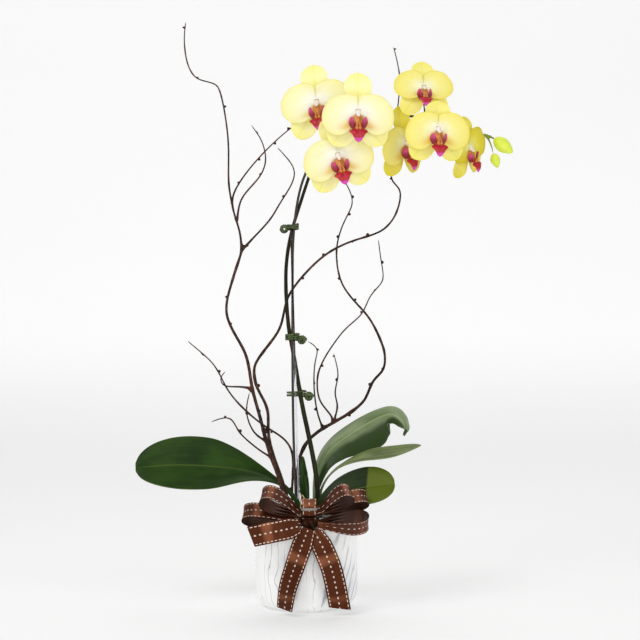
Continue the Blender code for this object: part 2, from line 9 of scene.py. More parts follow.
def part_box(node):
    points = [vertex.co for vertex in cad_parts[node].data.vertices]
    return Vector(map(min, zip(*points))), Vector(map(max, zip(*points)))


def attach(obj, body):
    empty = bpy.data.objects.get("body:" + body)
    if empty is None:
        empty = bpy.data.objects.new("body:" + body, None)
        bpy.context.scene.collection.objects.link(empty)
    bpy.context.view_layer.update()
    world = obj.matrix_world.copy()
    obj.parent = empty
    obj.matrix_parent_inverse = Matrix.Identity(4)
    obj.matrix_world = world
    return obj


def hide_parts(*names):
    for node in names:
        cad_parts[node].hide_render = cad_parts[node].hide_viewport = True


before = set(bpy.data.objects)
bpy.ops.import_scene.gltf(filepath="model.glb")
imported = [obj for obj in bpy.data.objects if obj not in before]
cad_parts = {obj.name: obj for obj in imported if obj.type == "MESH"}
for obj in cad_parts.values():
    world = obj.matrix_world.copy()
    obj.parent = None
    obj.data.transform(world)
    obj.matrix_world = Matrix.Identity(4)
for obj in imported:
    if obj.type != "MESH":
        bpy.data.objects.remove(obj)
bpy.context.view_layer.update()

print("frame loaded:", len(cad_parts), "nodes")


# camera first, level and straight on
cameraPlace = {"spot": (0.0169, -2.0, 0.357), "lens": 90}


def placeCamera():
    bpy.ops.object.camera_add(location=cameraPlace["spot"], rotation=(math.radians(90), 0, 0))
    camera = bpy.context.object
    camera.data.lens = cameraPlace["lens"]
    camera.data.clip_end = 30
    bpy.context.scene.camera = camera


placeCamera()


# small tools used by every piece
def clearSelection():
    if bpy.context.object and bpy.context.object.mode != "OBJECT":
        bpy.ops.object.mode_set(mode="OBJECT")
    bpy.ops.object.select_all(action="DESELECT")


def pick(piece):
    clearSelection()
    piece.select_set(True)
    bpy.context.view_layer.objects.active = piece


def nameNew(name, material):
    piece = bpy.context.object
    piece.name = name
    piece.data.name = name
    piece.data.materials.clear()
    piece.data.materials.append(material)
    return piece


def applyAll(piece):
    pick(piece)
    for mod in list(piece.modifiers):
        bpy.ops.object.modifier_apply(modifier=mod.name)


def settlePlace(piece):
    pick(piece)
    bpy.ops.object.transform_apply(location=True, rotation=True, scale=True)


def subdivideSmooth(piece, levels):
    mod = piece.modifiers.new("smooth", "SUBSURF")
    mod.levels = mod.render_levels = levels
    applyAll(piece)


def thicken(piece, thickness, backMaterial=0):
    mod = piece.modifiers.new("thickness", "SOLIDIFY")
    mod.thickness = thickness
    mod.offset = 0
    mod.use_even_offset = False
    mod.material_offset = backMaterial
    applyAll(piece)


def joinPieces(pieces, name):
    clearSelection()
    for part in pieces:
        part.select_set(True)
    bpy.context.view_layer.objects.active = pieces[0]
    if len(pieces) > 1:
        bpy.ops.object.join()
    whole = bpy.context.object
    whole.name = name
    whole.data.name = name
    return whole


# a flat grid whose corners run u 0..1 and v -1..1, laid on the surface placeAt(u, v)
def gridPiece(name, along, across, placeAt, material):
    clearSelection()
    bpy.ops.mesh.primitive_grid_add(x_subdivisions=along, y_subdivisions=across, size=2)
    piece = nameNew(name, material)
    for vert in piece.data.vertices:
        vert.co = placeAt((vert.co.x + 1) / 2, vert.co.y)
    return piece


def joined(node, *skip):
    return "".join(w.capitalize() for w in node.split("_") if w not in skip)


def smoothFaces(piece):
    pick(piece)
    bpy.ops.object.shade_smooth()


def finishPiece(piece, slotName, *nodes):
    smoothFaces(piece)
    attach(piece, "root")
    if nodes:
        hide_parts(*nodes)


def bump(x, middle, width):
    return math.exp(-((x - middle) / width) ** 2)


def ease(low, high, x):
    t = min(1.0, max(0.0, (x - low) / (high - low)))
    return t * t * (3 - 2 * t)


# a smooth line through points, read at a share of its length
def smoothLine(points, step):
    knots = [Vector(p) for p in points]
    knots = [2 * knots[0] - knots[1]] + knots + [2 * knots[-1] - knots[-2]]
    line = []
    for a, b, c, d in zip(knots, knots[1:], knots[2:], knots[3:]):
        count = max(1, round((c - b).length / step))
        for i in range(count):
            t = i / count
            line.append(0.5 * (2 * b + (c - a) * t + (2 * a - 5 * b + 4 * c - d) * t * t
                               + (3 * b - a - 3 * c + d) * t ** 3))
    return line + [knots[-2]]


def lineLength(line):
    return sum((b - a).length for a, b in zip(line, line[1:]))


def lineAt(line, share):
    target = share * lineLength(line)
    for a, b in zip(line, line[1:]):
        length = (b - a).length
        if target <= length or b is line[-1]:
            ahead = (b - a).normalized()
            return a.lerp(b, min(1.0, target / length)), ahead
        target -= length


# finishes are made of nodes; colours are given as 0..255
def paint(red, green, blue):
    def linear(c):
        c /= 255
        return c / 12.92 if c <= 0.04045 else ((c + 0.055) / 1.055) ** 2.4
    return (linear(red), linear(green), linear(blue), 1)


def newFinish(name, **sockets):
    finish = bpy.data.materials.new(name)
    finish.use_nodes = True
    shader = finish.node_tree.nodes["Principled BSDF"]
    for key, value in sockets.items():
        shader.inputs[key.replace("_", " ")].default_value = value
    return finish


def put(finish, kind, inputs, **settings):
    node = finish.node_tree.nodes.new("ShaderNode" + kind)
    for key, value in settings.items():
        setattr(node, key, value)
    for key, value in inputs.items():
        if isinstance(value, bpy.types.NodeSocket):
            finish.node_tree.links.new(value, node.inputs[key])
        else:
            node.inputs[key].default_value = value
    return node


def calc(finish, operation, a, b=0.0, c=0.0):
    return put(finish, "Math", {0: a, 1: b, 2: c}, operation=operation).outputs[0]


def mixed(finish, share, first, second, mode="MIX"):
    inputs = {0: share, 6: first, 7: second}
    return put(finish, "Mix", inputs, data_type="RGBA", blend_type=mode).outputs[2]


def ramp(finish, share, stops):
    node = put(finish, "ValToRGB", {0: share})
    elements = node.color_ramp.elements
    while len(elements) < len(stops):
        elements.new(0.5)
    for element, (place, colour) in zip(elements, stops):
        element.position = place
        element.color = colour if len(colour) == 4 else (*colour, 1)
    return node.outputs[0]


def stretch(finish, value, low, high):
    inputs = {0: value, 1: low, 2: high, 3: 0.0, 4: 1.0}
    return put(finish, "MapRange", inputs, interpolation_type="SMOOTHSTEP").outputs[0]


def cloud(finish, vector, scale, detail=3.0, rough=0.5):
    inputs = {"Vector": vector, "Scale": scale, "Detail": detail, "Roughness": rough}
    return put(finish, "TexNoise", inputs).outputs["Fac"]


def objectPlace(finish):
    return put(finish, "TexCoord", {}).outputs["Object"]


def ownPlace(finish):
    uv = put(finish, "UVMap", {}, uv_map="UVMap").outputs[0]
    split = put(finish, "SeparateXYZ", {0: uv})
    return uv, split.outputs[0], split.outputs[1]


def scaled(finish, vector, x, y, z):
    inputs = {"Vector": vector, "Scale": (x, y, z)}
    return put(finish, "Mapping", inputs).outputs[0]


def colourTo(finish, colour):
    shader = finish.node_tree.nodes["Principled BSDF"]
    finish.node_tree.links.new(colour, shader.inputs["Base Color"])


def roughTo(finish, value):
    shader = finish.node_tree.nodes["Principled BSDF"]
    finish.node_tree.links.new(value, shader.inputs["Roughness"])


def reliefTo(finish, height, strength, distance):
    inputs = {"Height": height, "Strength": strength, "Distance": distance}
    relief = put(finish, "Bump", inputs).outputs[0]
    shader = finish.node_tree.nodes["Principled BSDF"]
    finish.node_tree.links.new(relief, shader.inputs["Normal"])


# glazed pot with fine wavy marbling
pot = {"radius": 0.064, "footRadius": 0.042, "wall": 0.0055, "floor": 0.008, "steps": 128,
       "inCorner": 0.022, "lines": 34}


def marbledGlaze():
    finish = newFinish("marbledGlaze", Roughness=0.16, IOR=1.5, Coat_Weight=0.5,
                       Coat_Roughness=0.06)
    place = objectPlace(finish)
    split = put(finish, "SeparateXYZ", {0: place})
    x, y, z = split.outputs[0], split.outputs[1], split.outputs[2]
    turn = calc(finish, "ARCTAN2", x, calc(finish, "MULTIPLY", y, -1))
    sway = cloud(finish, scaled(finish, place, 24, 24, 17), 1.0, 2.0)
    fine = cloud(finish, scaled(finish, place, 95, 95, 60), 1.0, 2.0)
    bend = calc(finish, "ADD", calc(finish, "MULTIPLY", sway, 2.6), calc(finish, "MULTIPLY", fine, 0.5))
    slant = calc(finish, "MULTIPLY", z, calc(finish, "MULTIPLY", stretch(finish, turn, 0.1, 0.7), -26))
    count = calc(finish, "ADD", calc(finish, "MULTIPLY_ADD", turn, pot["lines"] / math.tau, bend), slant)
    strip = calc(finish, "ABSOLUTE", calc(finish, "SUBTRACT", calc(finish, "FRACT", count), 0.5))
    breadth = calc(finish, "MULTIPLY_ADD", stretch(finish, turn, 0.1, 0.5), 0.12, 0.07)
    line = calc(finish, "SUBTRACT", 1.0, calc(finish, "SMOOTH_MIN", 1.0,
                                              calc(finish, "DIVIDE", strip, breadth), 0.4))
    left = calc(finish, "MULTIPLY", stretch(finish, turn, -1.15, -0.95),
                calc(finish, "SUBTRACT", 1.0, stretch(finish, turn, -0.5, -0.3)))
    right = calc(finish, "MULTIPLY", stretch(finish, turn, 0.2, 0.35),
                 calc(finish, "SUBTRACT", 1.0, stretch(finish, turn, 0.7, 0.95)))
    patch = stretch(finish, cloud(finish, scaled(finish, place, 19, 19, 11), 1.0, 2.0), 0.5, 0.6)
    mask = calc(finish, "MAXIMUM", calc(finish, "MAXIMUM", left, right),
                calc(finish, "MULTIPLY", patch, 0.9))
    broken = stretch(finish, cloud(finish, scaled(finish, place, 32, 32, 24), 1.0, 2.0), 0.36, 0.52)
    line = calc(finish, "MULTIPLY", line, calc(finish, "MULTIPLY", mask, broken))
    haze = stretch(finish, cloud(finish, scaled(finish, place, 26, 26, 14), 1.0, 3.0), 0.5, 0.85)
    base = mixed(finish, haze, paint(252, 252, 251), paint(222, 224, 228))
    colour = mixed(finish, calc(finish, "MULTIPLY", line, 0.85), base, paint(138, 144, 156))
    colourTo(finish, colour)
    roughTo(finish, calc(finish, "MULTIPLY_ADD", fine, 0.08, 0.12))
    reliefTo(finish, fine, 0.08, 0.0004)
    return finish


def arcPoints(cx, cz, radius, start, stop, count):
    turns = [math.radians(start + (stop - start) * i / count) for i in range(count + 1)]
    return [(cx + radius * math.cos(a), cz + radius * math.sin(a)) for a in turns]


def potOutline():
    low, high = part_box("pot")
    radius, height = pot["radius"], high.z
    lip = pot["wall"] / 2
    footRound = radius - pot["footRadius"]
    inner = radius - pot["wall"]
    corner = pot["inCorner"]
    outside = arcPoints(pot["footRadius"], footRound, footRound, -90, 0, 14)
    wall = [(radius, footRound + (height - lip - footRound) * i / 8) for i in range(1, 8)]
    rim = arcPoints(radius - lip, height - lip, lip, 0, 180, 12)
    inside = [(inner, height - lip - (height - lip - 0.03) * i / 5) for i in range(1, 5)]
    bottom = arcPoints(inner - corner, pot["floor"] + corner, corner, 0, -90, 8)
    return outside + wall + rim + inside + bottom


def makePot():
    outline = potOutline()
    clearSelection()
    bpy.ops.mesh.primitive_circle_add(vertices=pot["steps"], radius=outline[0][0],
                                      fill_type="NGON")
    piece = nameNew("glazedPot", marbledGlaze())
    bpy.ops.object.mode_set(mode="EDIT")
    bpy.ops.mesh.select_all(action="SELECT")
    for (r0, z0), (r1, z1) in zip(outline, outline[1:]):
        bpy.ops.mesh.extrude_region_move(TRANSFORM_OT_translate={"value": (0, 0, z1 - z0)})
        bpy.ops.transform.resize(value=(r1 / r0, r1 / r0, 1), center_override=(0, 0, z1))
    bpy.ops.mesh.select_all(action="SELECT")
    bpy.ops.mesh.normals_make_consistent(inside=False)
    bpy.ops.object.mode_set(mode="OBJECT")
    finishPiece(piece, "white_marbled_glaze", "pot")
    return piece


makePot()
print("pot done")


# bark bedding with loose chips on top
bedding = {"chips": 170, "seed": 4, "chipSize": 0.0065, "reach": 0.054}


def barkBits():
    finish = newFinish("barkBits", Roughness=0.88)
    place = objectPlace(finish)
    grain = cloud(finish, scaled(finish, place, 260, 90, 160), 1.0, 6.0, 0.65)
    tint = cloud(finish, place, 70.0, 2.0)
    dark = mixed(finish, tint, paint(52, 34, 22), paint(112, 74, 46))
    colourTo(finish, mixed(finish, stretch(finish, grain, 0.35, 0.7), paint(28, 18, 12), dark))
    reliefTo(finish, grain, 0.8, 0.001)
    return finish


def copyOfNode(node, name, material):
    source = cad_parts[node]
    piece = source.copy()
    piece.data = source.data.copy()
    for key in list(piece.keys()):
        del piece[key]
    piece.parent = None
    bpy.context.scene.collection.objects.link(piece)
    piece.hide_render = False
    piece.hide_viewport = False
    pick(piece)
    nameNew(name, material)
    bpy.ops.mesh.customdata_custom_splitnormals_clear()
    bpy.ops.object.mode_set(mode="EDIT")
    bpy.ops.mesh.select_all(action="SELECT")
    bpy.ops.mesh.remove_doubles(threshold=0.00001)
    bpy.ops.mesh.tris_convert_to_quads()
    bpy.ops.object.mode_set(mode="OBJECT")
    return piece


def oneChip(material):
    clearSelection()
    bpy.ops.mesh.primitive_cube_add(size=1)
    chip = nameNew("chip", material)
    subdivideSmooth(chip, 2)
    for vert in chip.data.vertices:
        lift = noise.noise(vert.co * 3.1) * 0.35
        vert.co = Vector((vert.co.x * 1.5, vert.co.y, vert.co.z * 0.55)) * (1 + lift)
    return chip


def makeBedding():
    material = barkBits()
    draw = random.Random(bedding["seed"])
    low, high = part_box("growing_medium")
    base = copyOfNode("growing_medium", "bark", material)
    chip = oneChip(material)
    parts = [base]
    for i in range(bedding["chips"]):
        reach = bedding["reach"] * math.sqrt(draw.random())
        turn = draw.random() * math.tau
        size = bedding["chipSize"] * (0.6 + 0.7 * draw.random())
        spot = Vector((reach * math.cos(turn), reach * math.sin(turn),
                       high.z - 0.0005 + 0.0015 * draw.random()))
        tilt = Euler((draw.uniform(-0.4, 0.4), draw.uniform(-0.4, 0.4), draw.random() * math.tau))
        piece = chip.copy()
        piece.data = chip.data.copy()
        bpy.context.scene.collection.objects.link(piece)
        piece.data.transform(Matrix.LocRotScale(spot, tilt, (size, size, size)))
        parts.append(piece)
    bpy.data.objects.remove(chip)
    whole = joinPieces(parts, "barkBedding")
    finishPiece(whole, "bark", "growing_medium")


makeBedding()
print("bedding done")


# sticks, stem and stake start as rounded copies of their CAD solids
def localRadius(piece, limit):
    mesh = piece.data
    tree = BVHTree.FromPolygons([v.co for v in mesh.vertices],
                                [tuple(p.vertices) for p in mesh.polygons])
    sizes = []
    for vert in mesh.vertices:
        hit = tree.ray_cast(vert.co - vert.normal * 0.00005, -vert.normal, 4 * limit)
        sizes.append(min(limit, (hit[3] or limit) / 2))
    return sizes


def roundedStick(node, name, material, limit, knobs, ripple, levels=2, plump=0.2):
    piece = copyOfNode(node, name, material)
    subdivideSmooth(piece, levels)
    sizes = localRadius(piece, limit)
    shift = []
    for vert, size in zip(piece.data.vertices, sizes):
        knob = max(0.0, noise.noise(vert.co * 75) - 0.18) * knobs
        fine = noise.noise(vert.co * 420) * ripple
        shift.append(vert.normal * size * (plump + knob + fine))
    for vert, move in zip(piece.data.vertices, shift):
        vert.co += move
    return piece


# short spurs: a few small faces drawn out to a point
def growSpurs(piece, count, seed, length, lowest):
    draw = random.Random(seed)
    mesh = piece.data
    pick(piece)
    bpy.ops.object.mode_set(mode="EDIT")
    bpy.ops.mesh.select_all(action="DESELECT")
    bpy.ops.object.mode_set(mode="OBJECT")
    able = [p for p in mesh.polygons if p.center.z > lowest and len(p.vertices) == 4]
    chosen = []
    for face in draw.sample(able, min(len(able), count * 6)):
        if all((face.center - other.center).length > 0.02 for other in chosen):
            chosen.append(face)
        if len(chosen) == count:
            break
    for face in chosen:
        face.select = True
    bpy.ops.object.mode_set(mode="EDIT")
    bpy.ops.mesh.select_mode(type="FACE")
    bpy.ops.mesh.extrude_faces_move(TRANSFORM_OT_shrink_fatten={"value": length * 0.4})
    bpy.ops.mesh.extrude_faces_move(TRANSFORM_OT_shrink_fatten={"value": length * 0.6})
    bpy.ops.mesh.merge(type="COLLAPSE")
    bpy.ops.object.mode_set(mode="OBJECT")


def willowSkin():
    finish = newFinish("willowSkin", Roughness=0.8, Specular_IOR_Level=0.25)
    place = objectPlace(finish)
    broad = cloud(finish, place, 22.0, 3.0)
    grain = cloud(finish, scaled(finish, place, 500, 500, 160), 1.0, 4.0, 0.6)
    base = mixed(finish, stretch(finish, broad, 0.35, 0.7), paint(22, 14, 12), paint(70, 40, 28))
    lighter = mixed(finish, stretch(finish, grain, 0.45, 0.8), base, paint(112, 80, 60))
    colourTo(finish, lighter)
    reliefTo(finish, grain, 0.6, 0.0006)
    return finish


willow = {"willow_tall": {"limit": 0.0026, "spurs": 30, "seed": 3},
          "willow_crossing": {"limit": 0.0022, "spurs": 16, "seed": 5},
          "willow_right": {"limit": 0.0025, "spurs": 26, "seed": 8},
          "willow_low": {"limit": 0.0018, "spurs": 16, "seed": 11}}


def makeWillow():
    skin = willowSkin()
    for node, stick in willow.items():
        piece = roundedStick(node, "willowStick" + joined(node, "willow"), skin, stick["limit"],
                             0.9, 0.12, plump=0.32)
        growSpurs(piece, stick["spurs"], stick["seed"], 0.003, 0.14)
        finishPiece(piece, "willow_bark", node)


makeWillow()
print("willow sticks done")


def stemSkin():
    finish = newFinish("stemSkin", Roughness=0.42, Specular_IOR_Level=0.15,
                       Subsurface_Weight=0.05, Subsurface_Scale=0.002)
    place = objectPlace(finish)
    broad = cloud(finish, scaled(finish, place, 60, 60, 12), 1.0, 3.0)
    fine = cloud(finish, scaled(finish, place, 700, 700, 90), 1.0, 3.0)
    split = put(finish, "SeparateXYZ", {0: place})
    base = mixed(finish, stretch(finish, broad, 0.35, 0.68), paint(16, 20, 3), paint(44, 48, 12))
    base = mixed(finish, calc(finish, "MULTIPLY", fine, 0.4), base, paint(44, 28, 14))
    young = stretch(finish, split.outputs[0], 0.19, 0.226)
    colourTo(finish, mixed(finish, young, base, paint(124, 136, 52)))
    reliefTo(finish, fine, 0.25, 0.0004)
    return finish


def stakeSkin():
    finish = newFinish("stakeSkin", Roughness=0.55)
    place = objectPlace(finish)
    grain = cloud(finish, scaled(finish, place, 900, 900, 30), 1.0, 4.0)
    base = mixed(finish, stretch(finish, grain, 0.35, 0.7), paint(26, 20, 17), paint(62, 48, 38))
    colourTo(finish, base)
    reliefTo(finish, grain, 0.4, 0.0004)
    return finish


def clearRodSkin():
    finish = newFinish("clearRodSkin", Roughness=0.05, IOR=1.18, Transmission_Weight=0.95)
    place = objectPlace(finish)
    cloudy = cloud(finish, scaled(finish, place, 300, 300, 20), 1.0, 2.0)
    clear = mixed(finish, cloudy, paint(226, 232, 238), paint(246, 249, 252))
    paintedReflectionHeight = put(finish, "SeparateXYZ", {0: place}).outputs[2]  # darker brown towards the top, a painted reflection of the dark stake
    colourTo(finish, mixed(finish, stretch(finish, paintedReflectionHeight, 0.29, 0.33), clear, paint(92, 78, 68)))
    roughTo(finish, calc(finish, "MULTIPLY_ADD", cloudy, 0.06, 0.02))
    return finish


def makeStems():
    spike = roundedStick("flower_spike", "flowerStem", stemSkin(), 0.0034, 0.25, 0.05,
                         plump=0.26)
    finishPiece(spike, "stem_green", "flower_spike")
    stake = roundedStick("stake", "darkStake", stakeSkin(), 0.0017, 0.12, 0.05)
    finishPiece(stake, "dark_stake", "stake")
    rod = roundedStick("clear_rod", "clearRod", clearRodSkin(), 0.0013, 0, 0, 1)
    finishPiece(rod, "clear_plastic", "clear_rod")


makeStems()
print("stem, stake and rod done")


# twisted plant ties: two strands wound round the stems, and a rolled knot at one side
ties = {"tie_upper": {"side": -1, "turns": 2.6, "rise": 0.0026, "lift": 0.004},
        "tie_middle": {"side": 1, "turns": 3.2, "rise": 0.0026, "lift": 0.004},
        "tie_lower": {"side": 1, "turns": 2.2, "rise": 0.0034, "lift": 0.001}}
tieWire = {"strand": 0.00082, "twist": 0.0050, "offset": 0.00070, "roll": 0.0050, "rings": 34}


def tieSkin():
    finish = newFinish("tieSkin", Roughness=0.5)
    place = objectPlace(finish)
    tint = cloud(finish, place, 320.0, 3.0)
    colourTo(finish, mixed(finish, stretch(finish, tint, 0.3, 0.7), paint(30, 44, 14),
                           paint(92, 108, 58)))
    reliefTo(finish, tint, 0.5, 0.0003)
    return finish


def strandCurve(name, line, radius, material):
    clearSelection()
    bpy.ops.curve.primitive_nurbs_path_add()
    curve = bpy.context.object
    curve.name = name
    curve.data.splines.clear()
    spline = curve.data.splines.new("POLY")
    spline.points.add(len(line) - 1)
    for point, spot in zip(spline.points, line):
        point.co = (*spot, 1)
    curve.data.dimensions = "3D"
    curve.data.bevel_depth = radius
    curve.data.bevel_resolution = 1
    curve.data.use_fill_caps = True
    bpy.ops.object.convert(target="MESH")
    return nameNew(name, material)


def twisted(line, pitch, offset, phase):
    total, out = 0.0, []
    for i, spot in enumerate(line):
        ahead = (line[min(i + 1, len(line) - 1)] - line[max(i - 1, 0)]).normalized()
        side = ahead.cross(Vector((0.31, 0.17, 0.93))).normalized()
        other = ahead.cross(side)
        if i:
            total += (spot - line[i - 1]).length
        turn = math.tau * total / pitch + phase
        out.append(spot + (side * math.cos(turn) + other * math.sin(turn)) * offset)
    return out


def makeTies():
    skin = tieSkin()
    for node, tie in ties.items():
        low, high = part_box(node)
        side = tie["side"]
        tailRoom = 0.0055
        left = low.x + (tailRoom if side < 0 else 0)
        right = high.x - (tailRoom if side > 0 else 0)
        top = high.z - 0.00095 - tie["turns"] * tie["rise"] / 2
        middle = Vector(((left + right) / 2, 0, top + tie["lift"]))
        half = ((right - left) / 2 - 0.00095, (high.y - low.y) / 2 - 0.0036)
        middle.y = high.y - half[1] - 0.00095
        coil = []
        steps = round(tie["turns"] * 12)
        for i in range(steps + 1):
            angle = math.tau * i / 12
            lift = (i / 12 - tie["turns"] / 2) * tie["rise"]
            coil.append(middle + Vector((half[0] * math.cos(angle) * side,
                                         half[1] * math.sin(angle), lift)))
        knot = coil[0] + Vector((0.0040 * side, -0.0025, 0.0004))
        roll = []
        for i in range(tieWire["rings"]):
            angle = math.tau * i / 9
            reach = tieWire["roll"] * (1 - 0.018 * i)
            roll.append(knot + Vector((reach * math.cos(angle), 0.0016 * math.sin(angle) - 0.00016 * i,
                                       reach * math.sin(angle))))
        line = smoothLine(list(reversed(roll)) + coil, 0.0009)
        parts = [strandCurve(f"strand{k}", twisted(line, tieWire["twist"], tieWire["offset"],
                                                   math.pi * k), tieWire["strand"], skin)
                 for k in range(2)]
        piece = joinPieces(parts, "plantTie" + joined(node, "tie"))
        finishPiece(piece, "tie_green", node)


makeTies()
print("ties done")


# leaves: midrib line, half width, where widest, how blunt the end, lean from level and fold
leaves = {
    "leaf_left": {"midrib": [(-0.003, -0.006, 0.114), (-0.014, -0.0085, 0.134),
                             (-0.034, -0.006, 0.154), (-0.070, -0.004, 0.168),
                             (-0.115, -0.003, 0.174), (-0.165, -0.004, 0.176),
                             (-0.213, -0.008, 0.173)],
                  "half": 0.039, "widest": 2.0, "blunt": 0.42, "lean": 52, "fold": 0.16,
                  "neck": (0.1, 0.1, 0.62)},
    "leaf_right_upper": {"midrib": [(0.009, 0.005, 0.116), (0.011, 0.008, 0.148),
                                    (0.018, 0.012, 0.176), (0.034, 0.018, 0.197),
                                    (0.062, 0.024, 0.217), (0.090, 0.026, 0.233),
                                    (0.110, 0.020, 0.238), (0.122, 0.007, 0.226),
                                    (0.123, -0.003, 0.213)],
                         "half": 0.035, "widest": 2.1, "blunt": 0.6, "lean": 45, "fold": -0.38,
                         "slim": (0.62, 0.45)},
    "leaf_right_narrow": {"midrib": [(0.0135, -0.001, 0.114), (0.020, -0.002, 0.148),
                                     (0.036, -0.014, 0.171), (0.066, -0.022, 0.185),
                                     (0.106, -0.023, 0.192), (0.142, -0.020, 0.202)],
                          "half": 0.017, "widest": 2.1, "blunt": 0.5, "lean": 17, "fold": 0.2,
                          "neck": (0.35, 0.3, 0.75)},
    "leaf_right_lower": {"midrib": [(0.009, -0.0115, 0.112), (0.016, -0.021, 0.125),
                                    (0.042, -0.027, 0.143), (0.072, -0.028, 0.151),
                                    (0.109, -0.030, 0.156)],
                         "half": 0.025, "widest": 2.1, "blunt": 0.4, "lean": 58, "fold": 0.15},
    "leaf_young": {"midrib": [(0, 0.0055, 0.116), (-0.002, 0.0075, 0.140),
                              (-0.004, 0.008, 0.165), (-0.005, 0.007, 0.186)],
                   "half": 0.006, "widest": 0.9, "blunt": 0.6, "lean": 0, "fold": 0.25,
                   "level": (1, 0, 0)},
}
leafBuild = {"along": 64, "across": 20, "thickness": 0.0015, "rootHalf": 0.0035}


# v runs from the near edge at 0 to the far edge at 1
def leafFinish(name, dark, light, rib, paintedLightTip=None, paintedShadeNear=None):
    finish = newFinish(name, Roughness=0.34, Specular_IOR_Level=0.2)
    uv, u, v = ownPlace(finish)
    broad = cloud(finish, scaled(finish, uv, 4, 2.4, 1), 1.0, 3.0)
    veins = cloud(finish, scaled(finish, uv, 2, 60, 1), 1.0, 2.0)
    away = calc(finish, "ABSOLUTE", calc(finish, "SUBTRACT", v, 0.5))
    base = mixed(finish, stretch(finish, broad, 0.3, 0.72), dark, light)
    base = mixed(finish, calc(finish, "MULTIPLY", stretch(finish, veins, 0.5, 0.75), 0.18), base, rib)
    # painted light: the outer part of the leaf towards its tip is made lighter where light falls on it
    if paintedLightTip:
        edge = calc(finish, "MULTIPLY_ADD", v, -0.1, u)
        place = stretch(finish, edge, paintedLightTip[0], paintedLightTip[1])
        base = mixed(finish, place, base, paintedLightTip[2])
    # painted shade: the near half of the leaf, bent downward, is darkened
    if paintedShadeNear:
        bend = calc(finish, "MULTIPLY_ADD", broad, 0.14, v)
        place = calc(finish, "SUBTRACT", 1.0, stretch(finish, bend, paintedShadeNear[0], paintedShadeNear[1]))
        base = mixed(finish, place, base, paintedShadeNear[2])
    ribLine = calc(finish, "SUBTRACT", 1.0, stretch(finish, away, 0.004, 0.02))
    ribLine = calc(finish, "MULTIPLY", ribLine, stretch(finish, u, 0.1, 0.3))
    base = mixed(finish, calc(finish, "MULTIPLY", ribLine, 0.5), base, rib)
    edge = stretch(finish, away, 0.485, 0.5)
    colourTo(finish, mixed(finish, calc(finish, "MULTIPLY", edge, 0.4), base, rib))
    roughTo(finish, calc(finish, "MULTIPLY_ADD", broad, 0.16, 0.28))
    reliefTo(finish, veins, 0.12, 0.0005)
    return finish


def leafSurface(leaf):
    line = smoothLine(leaf["midrib"], 0.004)
    lean = math.radians(leaf["lean"])
    level = Vector(leaf.get("level", (0, 1, 0)))

    def placeAt(u, v):
        centre, ahead = lineAt(line, u)
        flat = (level - ahead * ahead.dot(level)).normalized()
        upward = flat.cross(ahead)
        upward = upward if upward.z >= 0 else -upward
        blade = flat * math.cos(lean) + upward * math.sin(lean)
        face = upward * math.cos(lean) - flat * math.sin(lean)
        wide = math.sin(math.pi * min(u, 0.9985) ** leaf["widest"]) ** leaf["blunt"]
        base, start, full = leaf.get("neck", (1, 0, 1))
        wide *= leaf["half"] * (base + (1 - base) * ease(start, full, u))
        wide = max(wide, leafBuild["rootHalf"] * (1 - u) ** 0.5, 0.0003)
        near, far = leaf.get("slim", (0, 0))
        if v < 0:
            wide *= 1 - near * ease(0.62, 0.92, u)
        else:
            wide *= 1 - far * ease(0.3, 0.75, u)
        lift = leaf["fold"] * wide * abs(v) ** 1.5
        groove = -0.0009 * bump(v, 0, 0.07) * ease(0, 0.1, u) * (1 - ease(0.9, 1, u))
        wave = 0.0012 * math.sin(9 * u + 2 * v) * v * v * ease(0, 0.3, u)
        return centre + blade * (v * wide) + face * (lift + groove + wave)

    return placeAt


def makeLeaves():
    deep = leafFinish("deepLeaf", paint(18, 44, 0), paint(38, 68, 3), paint(86, 106, 40))
    # painted reflection: the pale grey-green of the upper right leaf stands in for glare on its glossy
    # top
    pale = leafFinish("leafPaintedGlare", paint(96, 116, 70), paint(134, 148, 108), paint(178, 190, 158),
                      paintedShadeNear=(0.34, 0.52, paint(36, 58, 10)))
    soft = leafFinish("softLeaf", paint(72, 90, 38), paint(120, 132, 82), paint(160, 170, 118))
    # painted light and shade: dark base colours paint the shadow of the leaves above, and a lighter
    # outer part paints the light falling on it
    paintedLitTipLeaf = leafFinish("leafPaintedLitTip", paint(14, 34, 1), paint(28, 50, 4), paint(104, 116, 44),
                      paintedLightTip=(0.64, 0.67, paint(90, 104, 22)))
    under = leafFinish("leafUnderside", paint(34, 62, 12), paint(62, 90, 26), paint(96, 120, 60))
    tones = {"leaf_left": deep, "leaf_right_upper": pale, "leaf_right_narrow": soft,
             "leaf_right_lower": paintedLitTipLeaf, "leaf_young": deep}
    for node, leaf in leaves.items():
        piece = gridPiece("orchid" + joined(node), leafBuild["along"], leafBuild["across"],
                          leafSurface(leaf), tones[node])
        piece.data.materials.append(under)
        up = sum((p.normal.z for p in piece.data.polygons))
        if up < 0:
            piece.data.flip_normals()
        thicken(piece, leafBuild["thickness"], 1)
        subdivideSmooth(piece, 1)
        finishPiece(piece, "leaf_green", node)


makeLeaves()
print("leaves done")


# crown: overlapping leaf bases round a short stem
def crownSkin():
    finish = newFinish("crownSkin", Roughness=0.45)
    place = objectPlace(finish)
    streak = cloud(finish, scaled(finish, place, 500, 500, 60), 1.0, 3.0)
    split = put(finish, "SeparateXYZ", {0: place})
    height = stretch(finish, split.outputs[2], 0.104, 0.126)
    base = mixed(finish, height, paint(72, 88, 34), paint(74, 120, 26))
    colourTo(finish, mixed(finish, calc(finish, "MULTIPLY", streak, 0.5), base, paint(44, 60, 18)))
    reliefTo(finish, streak, 0.4, 0.0005)
    return finish


